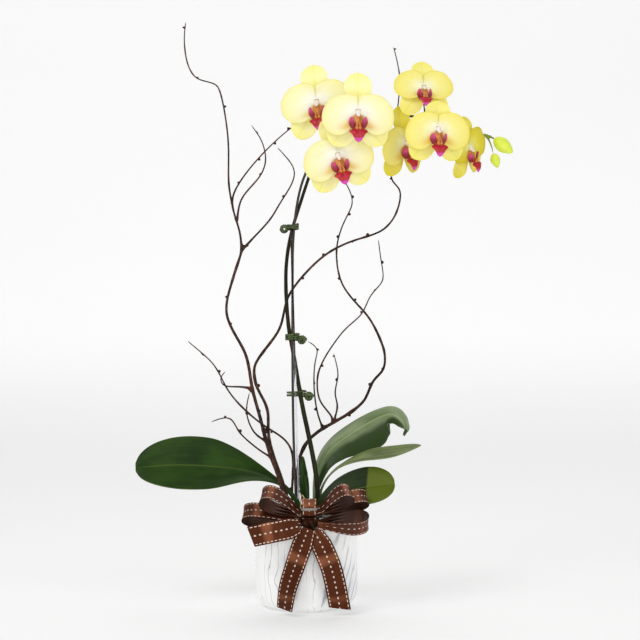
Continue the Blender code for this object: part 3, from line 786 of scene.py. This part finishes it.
def makeCrown():
    low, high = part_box("crown")
    skin = crownSkin()
    middle = (low + high) / 2
    clearSelection()
    bpy.ops.mesh.primitive_cylinder_add(vertices=24, radius=(high.x - low.x) / 2,
                                        depth=high.z - low.z, location=middle)
    core = nameNew("crownCore", skin)
    bpy.ops.object.mode_set(mode="EDIT")
    bpy.ops.mesh.select_all(action="SELECT")
    bpy.ops.mesh.subdivide(number_cuts=5)
    bpy.ops.object.mode_set(mode="OBJECT")
    settlePlace(core)
    for vert in core.data.vertices:
        share = (vert.co.z - low.z) / (high.z - low.z)
        turn = math.atan2(vert.co.y - middle.y, vert.co.x - middle.x)
        slim = 1 - 0.42 * share + 0.10 * math.sin(5 * turn + 9 * share)
        vert.co.x = middle.x + (vert.co.x - middle.x) * slim
        vert.co.y = middle.y + (vert.co.y - middle.y) * slim
    finishPiece(core, "stem_green", "crown")
    core.name = "leafCrown"


makeCrown()
print("crown done")


# flowers: where each sits, its turn, nod, roll, size, petal droop and depth of colour; the deep tone is
# painted shade for the flowers turned away from the light
flowers = [
    {"middle": (0.013, -0.020, 0.628), "turn": -8, "nod": 0, "roll": -8, "size": 0.98,
     "droop": 10, "tone": "cream"},
    {"middle": (0.063, -0.060, 0.611), "turn": 2, "nod": 4, "roll": 0, "size": 0.98,
     "droop": 25, "tone": "cream"},
    {"middle": (0.038, -0.040, 0.561), "turn": 6, "nod": 6, "roll": -13, "size": 0.98,
     "droop": 25, "tone": "cream"},
    {"middle": (0.121, -0.014, 0.579), "turn": 45, "nod": 4, "roll": -10, "size": 0.92,
     "droop": 25, "tone": "yellow", "sepalTone": "deep"},
    {"middle": (0.145, -0.020, 0.645), "turn": 6, "nod": -18, "roll": 0, "size": 0.8,
     "droop": 0, "tone": "yellow"},
    {"middle": (0.159, -0.067, 0.590), "turn": 12, "nod": 6, "roll": 0, "size": 0.9,
     "dorsal": 0.75, "droop": 25, "tone": "yellow"},
    {"middle": (0.200, -0.024, 0.571), "turn": 50, "nod": 6, "roll": -16, "size": 0.8,
     "droop": 0, "tone": "deep"},
]
petal = {"length": 0.047, "low": -66, "high": 89, "thickness": 0.0008}
sepal = {"dorsal": 0.047, "lateral": 0.053, "spread": 37, "half": 0.0175}
petalTones = {
    "cream": [(246, 243, 232), (246, 243, 220), (245, 240, 198), (243, 235, 174), (238, 226, 148)],
    "yellow": [(248, 245, 222), (246, 240, 184), (243, 232, 146), (239, 225, 122), (232, 214, 96)],
    # deep: painted shade, a darker olive yellow for a flower turned away from the light
    "deep": [(240, 234, 160), (236, 224, 108), (228, 212, 66), (216, 199, 34), (204, 186, 22)],
}
sepalTones = {
    "cream": [(236, 206, 76), (247, 236, 140), (251, 245, 182), (244, 233, 142)],
    "yellow": [(228, 198, 50), (241, 228, 108), (246, 236, 142), (236, 224, 110)],
    # deep: painted shade, a darker olive for sepals turned away from the light
    "deep": [(206, 182, 26), (224, 208, 56), (238, 224, 104), (218, 202, 50)],
}


def petalFinish(tone):
    finish = newFinish("petal" + tone.capitalize(), Roughness=0.5, Subsurface_Weight=0.3,
                       Subsurface_Radius=(1.0, 0.9, 0.3), Subsurface_Scale=0.003,
                       Specular_IOR_Level=0.3)
    uv, u, v = ownPlace(finish)
    soft = cloud(finish, scaled(finish, uv, 4, 3, 1), 1.0, 3.0)
    veins = cloud(finish, scaled(finish, uv, 2.5, 42, 1), 1.0, 2.0)
    tones = [paint(*c) for c in petalTones[tone]]
    base = ramp(finish, u, list(zip((0.0, 0.25, 0.5, 0.88, 1.0), tones)))
    shade = calc(finish, "MULTIPLY", stretch(finish, veins, 0.52, 0.72), 0.2)
    base = mixed(finish, shade, base, tones[4])
    shade = calc(finish, "MULTIPLY", stretch(finish, soft, 0.45, 0.8), 0.35)
    base = mixed(finish, shade, base, tones[3])
    # painted shade: deeper gold along the petal's lower inner edge, beside the lip
    low = calc(finish, "SUBTRACT", 1.0, stretch(finish, v, 0.02, 0.24))
    low = calc(finish, "MULTIPLY", low, stretch(finish, u, 0.04, 0.2))
    low = calc(finish, "MULTIPLY", low, calc(finish, "SUBTRACT", 1.0, stretch(finish, u, 0.6, 0.9)))
    base = mixed(finish, calc(finish, "MULTIPLY", low, 0.85), base, paint(226, 170, 30))
    high = calc(finish, "MULTIPLY", stretch(finish, v, 0.93, 1.0), stretch(finish, u, 0.35, 0.8))
    colourTo(finish, mixed(finish, calc(finish, "MULTIPLY", high, 0.4), base, paint(214, 214, 90)))
    reliefTo(finish, veins, 0.10, 0.0004)
    return finish


def sepalFinish(tone):
    finish = newFinish("sepal" + tone.capitalize(), Roughness=0.52, Subsurface_Weight=0.3,
                       Subsurface_Radius=(1.0, 0.9, 0.3), Subsurface_Scale=0.003,
                       Specular_IOR_Level=0.3)
    uv, u, v = ownPlace(finish)
    veins = cloud(finish, scaled(finish, uv, 2.5, 30, 1), 1.0, 2.0)
    spots = cloud(finish, scaled(finish, uv, 20, 60, 1), 1.0, 2.0)
    tones = [paint(*c) for c in sepalTones[tone]]
    base = ramp(finish, u, list(zip((0.0, 0.3, 0.65, 1.0), tones)))
    away = calc(finish, "ABSOLUTE", calc(finish, "SUBTRACT", v, 0.5))
    rib = calc(finish, "SUBTRACT", 1.0, stretch(finish, away, 0.0, 0.07))
    base = mixed(finish, calc(finish, "MULTIPLY", rib, 0.3), base, paint(216, 222, 80))
    shade = calc(finish, "MULTIPLY", stretch(finish, veins, 0.5, 0.72), 0.2)
    base = mixed(finish, shade, base, tones[0])
    near = calc(finish, "SUBTRACT", 1.0, stretch(finish, u, 0.2, 0.42))
    dots = calc(finish, "MULTIPLY", stretch(finish, spots, 0.6, 0.68), near)
    colourTo(finish, mixed(finish, calc(finish, "MULTIPLY", dots, 0.5), base, paint(150, 60, 30)))
    reliefTo(finish, veins, 0.12, 0.0004)
    return finish


def lipFinish(name, base, tip, split, stripe, stripes):
    finish = newFinish(name, Roughness=0.38, Subsurface_Weight=0.15,
                       Subsurface_Radius=(1.0, 0.3, 0.4), Subsurface_Scale=0.002)
    uv, u, v = ownPlace(finish)
    lines = cloud(finish, scaled(finish, uv, 2, stripes, 1), 1.0, 2.0)
    blot = cloud(finish, scaled(finish, uv, 5, 5, 1), 1.0, 2.0)
    place = calc(finish, "MULTIPLY_ADD", calc(finish, "SUBTRACT", blot, 0.5), 0.12, u)
    tone = mixed(finish, stretch(finish, place, split[0], split[1]), base, tip)
    colourTo(finish, mixed(finish, stretch(finish, lines, 0.48, 0.62), tone,
                           mixed(finish, 0.55, tone, stripe)))
    reliefTo(finish, lines, 0.15, 0.0003)
    return finish


# a petal fans out from its claw beside the column; side is 1 right or -1 left
def petalSurface(side, droop):
    droop = math.radians(droop)
    low, high = math.radians(petal["low"]), math.radians(petal["high"])

    def placeAt(u, v):
        angle = low + (high - low) * (v + 1) / 2
        swing = angle + droop
        swing *= 0.78 if swing > 0 else 1.12
        reach = 0.4 + 0.6 * max(0.0, math.cos(swing)) ** 2
        round_ = (1 - abs(v) ** 7) ** 0.5 if abs(v) < 1 else 0.0
        radius = petal["length"] * reach * (0.07 + 0.93 * u) * (0.86 + 0.14 * round_)
        share = radius / petal["length"]
        dome = -0.0024 * math.sin(math.pi * min(1.0, share))
        crease = 0.0008 * bump(v, -0.1, 0.12) * math.sin(math.pi * u)
        ripple = 0.0009 * u * u * math.sin(7.5 * v + side) + 0.0006 * u ** 3 * math.sin(17 * v)
        claw = -0.0032 * (1 - ease(0.0, 0.3, u))
        y = dome + crease + ripple + claw - 0.0008
        return Vector((side * radius * math.cos(angle), y, radius * math.sin(angle)))

    return placeAt


def sepalSurface(angle, length, half):
    way = Vector((math.cos(angle), 0, math.sin(angle)))
    across = Vector((-math.sin(angle), 0, math.cos(angle)))

    def placeAt(u, v):
        wide = max(half * math.sin(math.pi * min(u, 0.9995) ** 1.5) ** 0.5,
                   0.0030 * (1 - u) ** 0.5, 0.0002)
        share = u * length / petal["length"]
        back = 0.0030 + 0.0030 * share * share
        crease = 0.0010 * bump(v, 0, 0.16) * math.sin(math.pi * u)
        curl = -0.0022 * v * v * math.sin(math.pi * u) + 0.0006 * math.sin(11 * u + 3 * v) * v * v
        spot = way * (u * length) + across * (v * wide)
        return Vector((spot.x, back + crease + curl, spot.z))

    return placeAt


# middle lobe of the lip: broad shoulders, then a taper down to the tip
def lobeSurface(u, v):
    wide = 0.0048 + 0.0066 * bump(u, 0.2, 0.17) + 0.0030 * bump(u, 0.5, 0.25) - 0.0010 * u
    wide *= (1 - max(0.0, (u - 0.82) / 0.18) ** 2.5 * 0.85)
    z = -0.0242 - 0.0155 * u + 0.0012 * v * v
    y = -0.0150 - 0.0030 * math.sin(math.pi * u) + 0.0042 * v * v * (1 - u) + 0.0012 * bump(v, 0, 0.2)
    return Vector((v * wide, y, z))


def earSurface(side):
    def placeAt(u, v):
        height = -0.0235 + 0.0150 * u
        out = 0.0050 + 0.0050 * math.sin(math.pi * 0.5 * u) - 0.0014 * u * u
        wide = 0.0056 * math.sin(math.pi * (0.1 + 0.82 * u)) ** 0.6
        lean = 0.35 + 0.45 * u
        x = out + v * wide * math.cos(lean) * 0.75
        y = -0.0095 - 0.0035 * u + v * wide * math.sin(lean) + 0.0030 * v * v
        return Vector((side * x, y, height))
    return placeAt


def throatSurface(u, v):
    wide = 0.0050 + 0.0018 * math.sin(math.pi * u)
    z = -0.0060 - 0.0195 * u
    y = -0.0040 - 0.0100 * u + 0.0045 * v * v * math.sin(math.pi * u)
    return Vector((v * wide, y, z))


def roundBit(name, spot, size, tilt, material):
    clearSelection()
    bpy.ops.mesh.primitive_uv_sphere_add(segments=20, ring_count=14, radius=1)
    bit = nameNew(name, material)
    for vert in bit.data.vertices:
        squeeze = 1 - 0.22 * max(0.0, vert.co.z)
        vert.co = Vector((vert.co.x * squeeze, vert.co.y * squeeze * (1 + 0.12 * vert.co.z),
                          vert.co.z))
    bit.data.transform(Matrix.LocRotScale(Vector(spot), Euler(tilt), Vector(size)))
    return bit


def makeLip(finishes):
    lobe = gridPiece("lobe", 14, 12, lobeSurface, finishes["lobe"])
    throat = gridPiece("throat", 8, 6, throatSurface, finishes["callus"])
    ears = [gridPiece("ear", 10, 8, earSurface(side), finishes["ear"]) for side in (1, -1)]
    for part in [lobe, throat, *ears]:
        thicken(part, 0.0010)
        subdivideSmooth(part, 1)
    bits = [roundBit("column", (0, -0.0050, -0.0028), (0.0034, 0.0032, 0.0058),
                     (math.radians(128), 0, 0), finishes["column"]),
            roundBit("cap", (0, -0.0088, -0.0058), (0.0026, 0.0024, 0.0025),
                     (math.radians(140), 0, 0), finishes["column"])]
    for side in (1, -1):
        bits.append(roundBit("callus", (0.0019 * side, -0.0135, -0.0215),
                             (0.0019, 0.0022, 0.0030), (0.4, 0.2 * side, 0), finishes["callus"]))
        bits.append(roundBit("horn", (0.0015 * side, -0.0150, -0.0180),
                             (0.0009, 0.0012, 0.0026), (0.5, -0.3 * side, 0), finishes["callus"]))
    return joinPieces([lobe, throat, *ears, *bits], "lip")


def makeFlowers():
    petalSkins = {tone: petalFinish(tone) for tone in petalTones}
    sepalSkins = {tone: sepalFinish(tone) for tone in sepalTones}
    finishes = {
        "lobe": lipFinish("lipCrimson", paint(186, 6, 34), paint(226, 74, 190), (0.56, 0.78),
                          paint(120, 0, 20), 16),
        "ear": lipFinish("lipEarPink", paint(150, 8, 44), paint(214, 70, 134), (0.3, 0.9),
                         paint(84, 0, 22), 26),
        "callus": lipFinish("lipCallusGold", paint(222, 150, 66), paint(186, 60, 34), (0.3, 0.8),
                            paint(120, 6, 22), 22),
        "column": lipFinish("columnWhite", paint(246, 243, 226), paint(244, 236, 228), (0.5, 0.9),
                            paint(240, 216, 210), 5),
    }
    lip = makeLip(finishes)
    for number, flower in enumerate(flowers, 1):
        halves = [gridPiece("petal", 22, 30, petalSurface(side, flower["droop"]),
                            petalSkins[flower["tone"]]) for side in (1, -1)]
        spread = math.radians(sepal["spread"])
        spots = [(math.pi / 2, sepal["dorsal"] * flower.get("dorsal", 1), sepal["half"]),
                 (-math.pi / 2 + spread, sepal["lateral"], sepal["half"]),
                 (-math.pi / 2 - spread, sepal["lateral"], sepal["half"])]
        sepalSkin = sepalSkins[flower.get("sepalTone", flower["tone"])]
        trio = [gridPiece("sepal", 22, 14, sepalSurface(*spot), sepalSkin) for spot in spots]
        for part in [*halves, *trio]:
            thicken(part, petal["thickness"])
            subdivideSmooth(part, 1)
        size = flower["size"]
        tilt = Euler([math.radians(flower[k]) for k in ("nod", "roll", "turn")])
        place = Matrix.LocRotScale(Vector(flower["middle"]), tilt, (size, size, size))
        ownLip = lip.copy()
        ownLip.data = lip.data.copy()
        bpy.context.scene.collection.objects.link(ownLip)
        for parts, name, slotName in ((halves, "Petals", "petal_yellow"),
                                      (trio, "Sepals", "sepal_yellow"),
                                      ([ownLip], "Lip", "lip_crimson")):
            piece = joinPieces(parts, f"flower{number}{name}")
            piece.data.transform(place)
            finishPiece(piece, slotName, f"flower_{number}_{name.lower()}")
    bpy.data.objects.remove(lip)


makeFlowers()
print("flowers done")


# buds: seamed, pointed, on the end of the stem
def budSkin():
    finish = newFinish("budGreen", Roughness=0.45, Subsurface_Weight=0.2,
                       Subsurface_Radius=(0.8, 1.0, 0.3), Subsurface_Scale=0.003)
    place = objectPlace(finish)
    soft = cloud(finish, place, 90.0, 3.0)
    fine = cloud(finish, place, 500.0, 2.0)
    base = mixed(finish, soft, paint(204, 224, 44), paint(240, 246, 104))
    colourTo(finish, mixed(finish, calc(finish, "MULTIPLY", fine, 0.25), base, paint(170, 198, 44)))
    reliefTo(finish, fine, 0.15, 0.0004)
    return finish


def makeBuds():
    skin = budSkin()
    for node in ("bud_large", "bud_small"):
        piece = copyOfNode(node, "orchidBud" + joined(node, "bud"), skin)
        subdivideSmooth(piece, 2)
        low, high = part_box(node)
        middle = (low + high) / 2
        for vert in piece.data.vertices:
            away = vert.co - middle
            turn = math.atan2(away.y, away.x)
            seam = bump(math.cos(1.5 * turn), 0, 0.12)
            vert.co += vert.normal * (0.0006 - 0.0007 * seam)
        finishPiece(piece, "bud_green", node)


makeBuds()
print("buds done")


# satin ribbon bow
ribbon = {"width": 0.026, "thickness": 0.0005}
loops = {
    "bow_loop_left_front": {"root": (-0.007, -0.076, 0.124), "way": (-0.87, -0.15, 0.45),
                            "length": 0.052, "height": 0.020, "drop": 0.75},
    "bow_loop_left_outer": {"root": (-0.006, -0.074, 0.115), "way": (-1.0, 0.0, 0.13),
                            "length": 0.070, "height": 0.016, "drop": 0.75},
    "bow_loop_right_front": {"root": (0.018, -0.076, 0.128), "way": (0.82, -0.1, 0.52),
                             "length": 0.042, "height": 0.017, "drop": 0.75},
    "bow_loop_right_back": {"root": (0.012, -0.057, 0.125), "way": (0.95, 0.0, 0.25),
                            "length": 0.064, "height": 0.013, "drop": 0.75},
    "bow_loop_right_lower": {"root": (0.014, -0.080, 0.112), "way": (1.0, 0.05, 0.04),
                             "length": 0.061, "height": 0.018, "drop": -1.0},
}
tails = {
    "bow_tail_left": {"line": [(0.003, -0.081, 0.107), (-0.004, -0.078, 0.088),
                               (-0.013, -0.076, 0.062), (-0.022, -0.075, 0.034),
                               (-0.026, -0.074, 0.008)], "cut": 0.0, "twist": 42},
    "bow_tail_right": {"line": [(0.009, -0.0745, 0.104), (0.020, -0.076, 0.084),
                                (0.030, -0.075, 0.060), (0.036, -0.074, 0.036),
                                (0.041, -0.073, 0.009)], "cut": 0.004, "twist": 0},
    "bow_tail_side": {"line": [(-0.008, -0.084, 0.110), (-0.024, -0.090, 0.107),
                               (-0.044, -0.091, 0.103), (-0.066, -0.088, 0.098)],
                      "cut": -0.002, "twist": 0},
}
centreLoop = {"middle": (0.004, -0.084, 0.131), "half": 0.009, "deep": 0.0065, "tall": 0.012}


def satinFinish(name, printed):
    finish = newFinish(name, Roughness=0.3, Metallic=0.25, Specular_IOR_Level=0.5,
                       Specular_Tint=paint(232, 160, 120), Anisotropic=0.4)
    uv, u, v = ownPlace(finish)
    across = calc(finish, "ABSOLUTE", calc(finish, "SUBTRACT", v, 0.5))
    threads = cloud(finish, scaled(finish, uv, 14, 260, 1), 1.0, 2.0)
    soft = cloud(finish, scaled(finish, uv, 1.2, 1.2, 1), 1.0, 2.0)
    # the unprinted face, used for the back of the ribbon and the knot, is darker: partly its matte
    # weave, partly painted shade for the insides of the loops
    light, dark = ((86, 41, 24), (54, 24, 14)) if printed else ((54, 26, 16), (38, 17, 10))
    base = mixed(finish, soft, paint(*dark), paint(*light))
    base = mixed(finish, calc(finish, "MULTIPLY", threads, 0.3), base, paint(50, 22, 12))
    # painted highlight: lighter copper bands along the ribbon stand in for the sheen of the satin
    glow = cloud(finish, scaled(finish, uv, 1.05, 0.3, 1), 1.0, 1.0)
    glow = calc(finish, "MULTIPLY", stretch(finish, glow, 0.5, 0.72), 0.52 if printed else 0.2)
    base = mixed(finish, glow, base, paint(186, 118, 84))
    edge = stretch(finish, across, 0.462, 0.478)
    base = mixed(finish, calc(finish, "MULTIPLY", edge, 0.85), base, paint(24, 12, 10))
    if printed:
        step = calc(finish, "FRACT", calc(finish, "MULTIPLY", u, 5.2))
        dash = calc(finish, "LESS_THAN", step, 0.58)
        row = calc(finish, "LESS_THAN",
                   calc(finish, "ABSOLUTE", calc(finish, "SUBTRACT", across, 0.405)), 0.017)
        mark = calc(finish, "MULTIPLY", dash, row)
        unit = calc(finish, "SUBTRACT", calc(finish, "FRACT", calc(finish, "MULTIPLY", u, 4.0)), 0.5)
        spanU = calc(finish, "MULTIPLY", calc(finish, "ABSOLUTE", unit), 1.6)
        spanV = calc(finish, "MULTIPLY", across, 9.0)
        star = calc(finish, "LESS_THAN", calc(finish, "ADD", spanU, spanV), 0.42)
        mark = calc(finish, "MAXIMUM", mark, calc(finish, "MULTIPLY", star, 0.8))
        base = mixed(finish, mark, base, paint(232, 214, 200))
    colourTo(finish, base)
    reliefTo(finish, threads, 0.15, 0.0002)
    return finish


def stretchUv(piece, length):
    for item in piece.data.uv_layers["UVMap"].data:
        item.uv.x *= length / ribbon["width"]


def ribbonPiece(name, placeAt, along, across, faces, length, outward):
    piece = gridPiece(name, along, across, placeAt, faces[0])
    piece.data.materials.append(faces[1])
    stretchUv(piece, length)
    middle = sum((p.center for p in piece.data.polygons), Vector()) / len(piece.data.polygons)
    lean = sum(p.normal.dot(outward(p.center, middle)) for p in piece.data.polygons)
    if lean < 0:
        piece.data.flip_normals()
    thicken(piece, ribbon["thickness"], 1)
    subdivideSmooth(piece, 1)
    return piece


def pathLength(placeAt, steps=60):
    spots = [placeAt(i / steps, 0) for i in range(steps + 1)]
    return lineLength(spots)


def loopSurface(loop):
    ahead = Vector(loop["way"]).normalized()
    near = Vector((0, -1, -loop["drop"])).normalized()
    near = (near - ahead * near.dot(ahead)).normalized()
    lift = near.cross(ahead)
    lift = lift if lift.z > 0 else -lift
    start = Vector(loop["root"])

    def placeAt(u, v):
        open_ = math.sin(math.pi * u)
        out = loop["length"] * open_ ** 0.92
        rise = loop["height"] / 2 * math.sin(math.tau * u) + 0.0012 * math.cos(math.pi * u)
        pinch = 0.5 + 0.5 * min(1.0, open_ * 1.6)
        pleat = 0.0022 * (1 - min(1.0, open_ * 1.8)) * math.cos(3.5 * math.pi * v)
        bow = 0.0008 * math.sin(math.pi * u) * v * v
        return (start + ahead * (out + bow) + lift * (rise + pleat)
                + near * (v * pinch * ribbon["width"] / 2))

    return placeAt


def tailSurface(tail):
    line = smoothLine(tail["line"], 0.003)

    def placeAt(u, v):
        centre, ahead = lineAt(line, u)
        side = ahead.cross(Vector((0, 1, 0))).normalized()
        side = Matrix.Rotation(math.radians(tail["twist"]) * u, 3, ahead) @ side
        pinch = 0.7 + 0.3 * min(1.0, u * 5)
        pleat = 0.0012 * (1 - ease(0, 0.35, u)) * math.cos(3 * math.pi * v)
        wave = 0.0008 * math.sin(7 * u) * v
        return (centre + side * (v * pinch * ribbon["width"] / 2)
                + ahead * (v * tail["cut"] * u ** 6) + Vector((0, -abs(pleat) - abs(wave) * 0.5, 0)))

    return placeAt, lineLength(line)


def makeBow():
    faces = (satinFinish("satinPrinted", True), satinFinish("satinPlain", False))
    for node, loop in loops.items():
        placeAt = loopSurface(loop)
        length = pathLength(placeAt)
        name = "ribbon" + joined(node, "bow")
        piece = ribbonPiece(name, placeAt, 60, 12, faces, length,
                            lambda spot, middle: spot - middle)
        finishPiece(piece, "brown_satin", node)
    for node, tail in tails.items():
        placeAt, length = tailSurface(tail)
        name = "ribbon" + joined(node, "bow")
        piece = ribbonPiece(name, placeAt, 40, 10, faces, length,
                            lambda spot, middle: Vector((0, -1, 0)))
        finishPiece(piece, "brown_satin", node)
    middle = Vector(centreLoop["middle"])

    def centreAt(u, v):
        angle = math.radians(-70) - math.radians(330) * u
        bulge = 1 - 0.10 * bump(math.sin(angle), 0, 0.35)
        ring = Vector((0, -math.cos(angle) * centreLoop["deep"] * bulge,
                       math.sin(angle) * centreLoop["tall"]))
        return middle + ring + Vector((v * centreLoop["half"] * bulge, 0, 0))

    length = pathLength(centreAt)
    piece = ribbonPiece("ribbonLoopCentre", centreAt, 40, 8, faces, length,
                        lambda spot, centre: spot - centre)
    finishPiece(piece, "brown_satin", "bow_loop_centre")
    knot = copyOfNode("bow_knot", "ribbonKnot", faces[1])
    subdivideSmooth(knot, 3)
    low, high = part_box("bow_knot")
    centre = (low + high) / 2
    for vert in knot.data.vertices:
        away = vert.co - centre
        fold = 0.0010 * math.sin(away.x * 900 + away.z * 260) + 0.0003 * math.sin(away.z * 800)
        vert.co = centre + Vector((away.x * 1.45, away.y * 1.1, away.z * 1.45)) + vert.normal * fold
    finishPiece(knot, "brown_satin", "bow_knot")


makeBow()
print("bow done")


def makeBandAndPick():
    clear = newFinish("bandClear", Roughness=0.2, Transmission_Weight=0.6, IOR=1.45)
    place = objectPlace(clear)
    tint = cloud(clear, place, 300.0, 2.0)
    colourTo(clear, mixed(clear, tint, paint(200, 196, 186), paint(150, 140, 126)))
    wood = newFinish("pickWood", Roughness=0.7)
    place = objectPlace(wood)
    grain = cloud(wood, scaled(wood, place, 900, 900, 60), 1.0, 3.0)
    colourTo(wood, mixed(wood, grain, paint(214, 190, 146), paint(176, 144, 100)))
    reliefTo(wood, grain, 0.4, 0.0003)
    band = roundedStick("bow_band", "bowBand", clear, 0.0008, 0, 0)
    low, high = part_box("bow_band")
    middle = (low + high) / 2
    for vert in band.data.vertices:
        away = vert.co - middle
        vert.co = middle + Vector((away.x * 0.84, away.y * 0.82, away.z * 3))
    finishPiece(band, "clear_plastic", "bow_band")
    stick = roundedStick("bow_pick", "bowPick", wood, 0.0009, 0, 0.05)
    finishPiece(stick, "pick_wood", "bow_pick")


makeBandAndPick()
print("band and pick done")


# pale floor sweeping up behind, soft light
studio = {"half": 10.0, "front": -12.0, "bend": 1.4, "round": 1.8, "tall": 5.0, "glow": 0.44,
          "world": 0.4}
lamps = [{"spot": (-1.5, -2.1, 2.5), "power": 34, "size": 1.4},
         {"spot": (1.8, -2.3, 1.3), "power": 17, "size": 1.8},
         {"spot": (-0.2, -2.8, 0.5), "power": 14, "size": 1.0},
         {"spot": (0.4, 1.0, 2.4), "power": 9, "size": 1.6}]


def sweepAt(u, v):
    flat = studio["bend"] - studio["front"]
    arc = studio["round"] * math.pi / 2
    run = u * (flat + arc + studio["tall"])
    x = v * studio["half"]
    if run < flat:
        return Vector((x, studio["front"] + run, 0))
    if run < flat + arc:
        turn = (run - flat) / studio["round"]
        return Vector((x, studio["bend"] + studio["round"] * math.sin(turn),
                       studio["round"] * (1 - math.cos(turn))))
    return Vector((x, studio["bend"] + studio["round"], studio["round"] + run - flat - arc))


def makeStudio():
    paper = newFinish("sweepPaper", Roughness=0.9, Specular_IOR_Level=0.1,
                      Emission_Strength=studio["glow"])
    place = objectPlace(paper)
    tone = cloud(paper, place, 1.5, 2.0)
    height = put(paper, "SeparateXYZ", {0: place}).outputs[2]
    glow = mixed(paper, stretch(paper, height, 0.0, 0.35), paint(209, 209, 209), paint(255, 255, 255))
    shader = paper.node_tree.nodes["Principled BSDF"]
    paper.node_tree.links.new(glow, shader.inputs["Emission Color"])
    colourTo(paper, mixed(paper, tone, paint(218, 218, 218), paint(222, 222, 222)))
    sweep = gridPiece("studioSweep", 60, 4, sweepAt, paper)
    smoothFaces(sweep)
    world = bpy.data.worlds.new("studioWorld")
    bpy.context.scene.world = world
    world.use_nodes = True
    world.node_tree.nodes["Background"].inputs[0].default_value = (1, 1, 1, 1)
    world.node_tree.nodes["Background"].inputs[1].default_value = studio["world"]
    for lamp in lamps:
        aim = Vector((0, 0, 0.35)) - Vector(lamp["spot"])
        bpy.ops.object.light_add(type="AREA", location=lamp["spot"],
                                 rotation=aim.to_track_quat("-Z", "Y").to_euler())
        light = bpy.context.object.data
        light.energy = lamp["power"]
        light.size = lamp["size"]
    bpy.context.scene.view_settings.view_transform = "Standard"


makeStudio()
print("studio done")
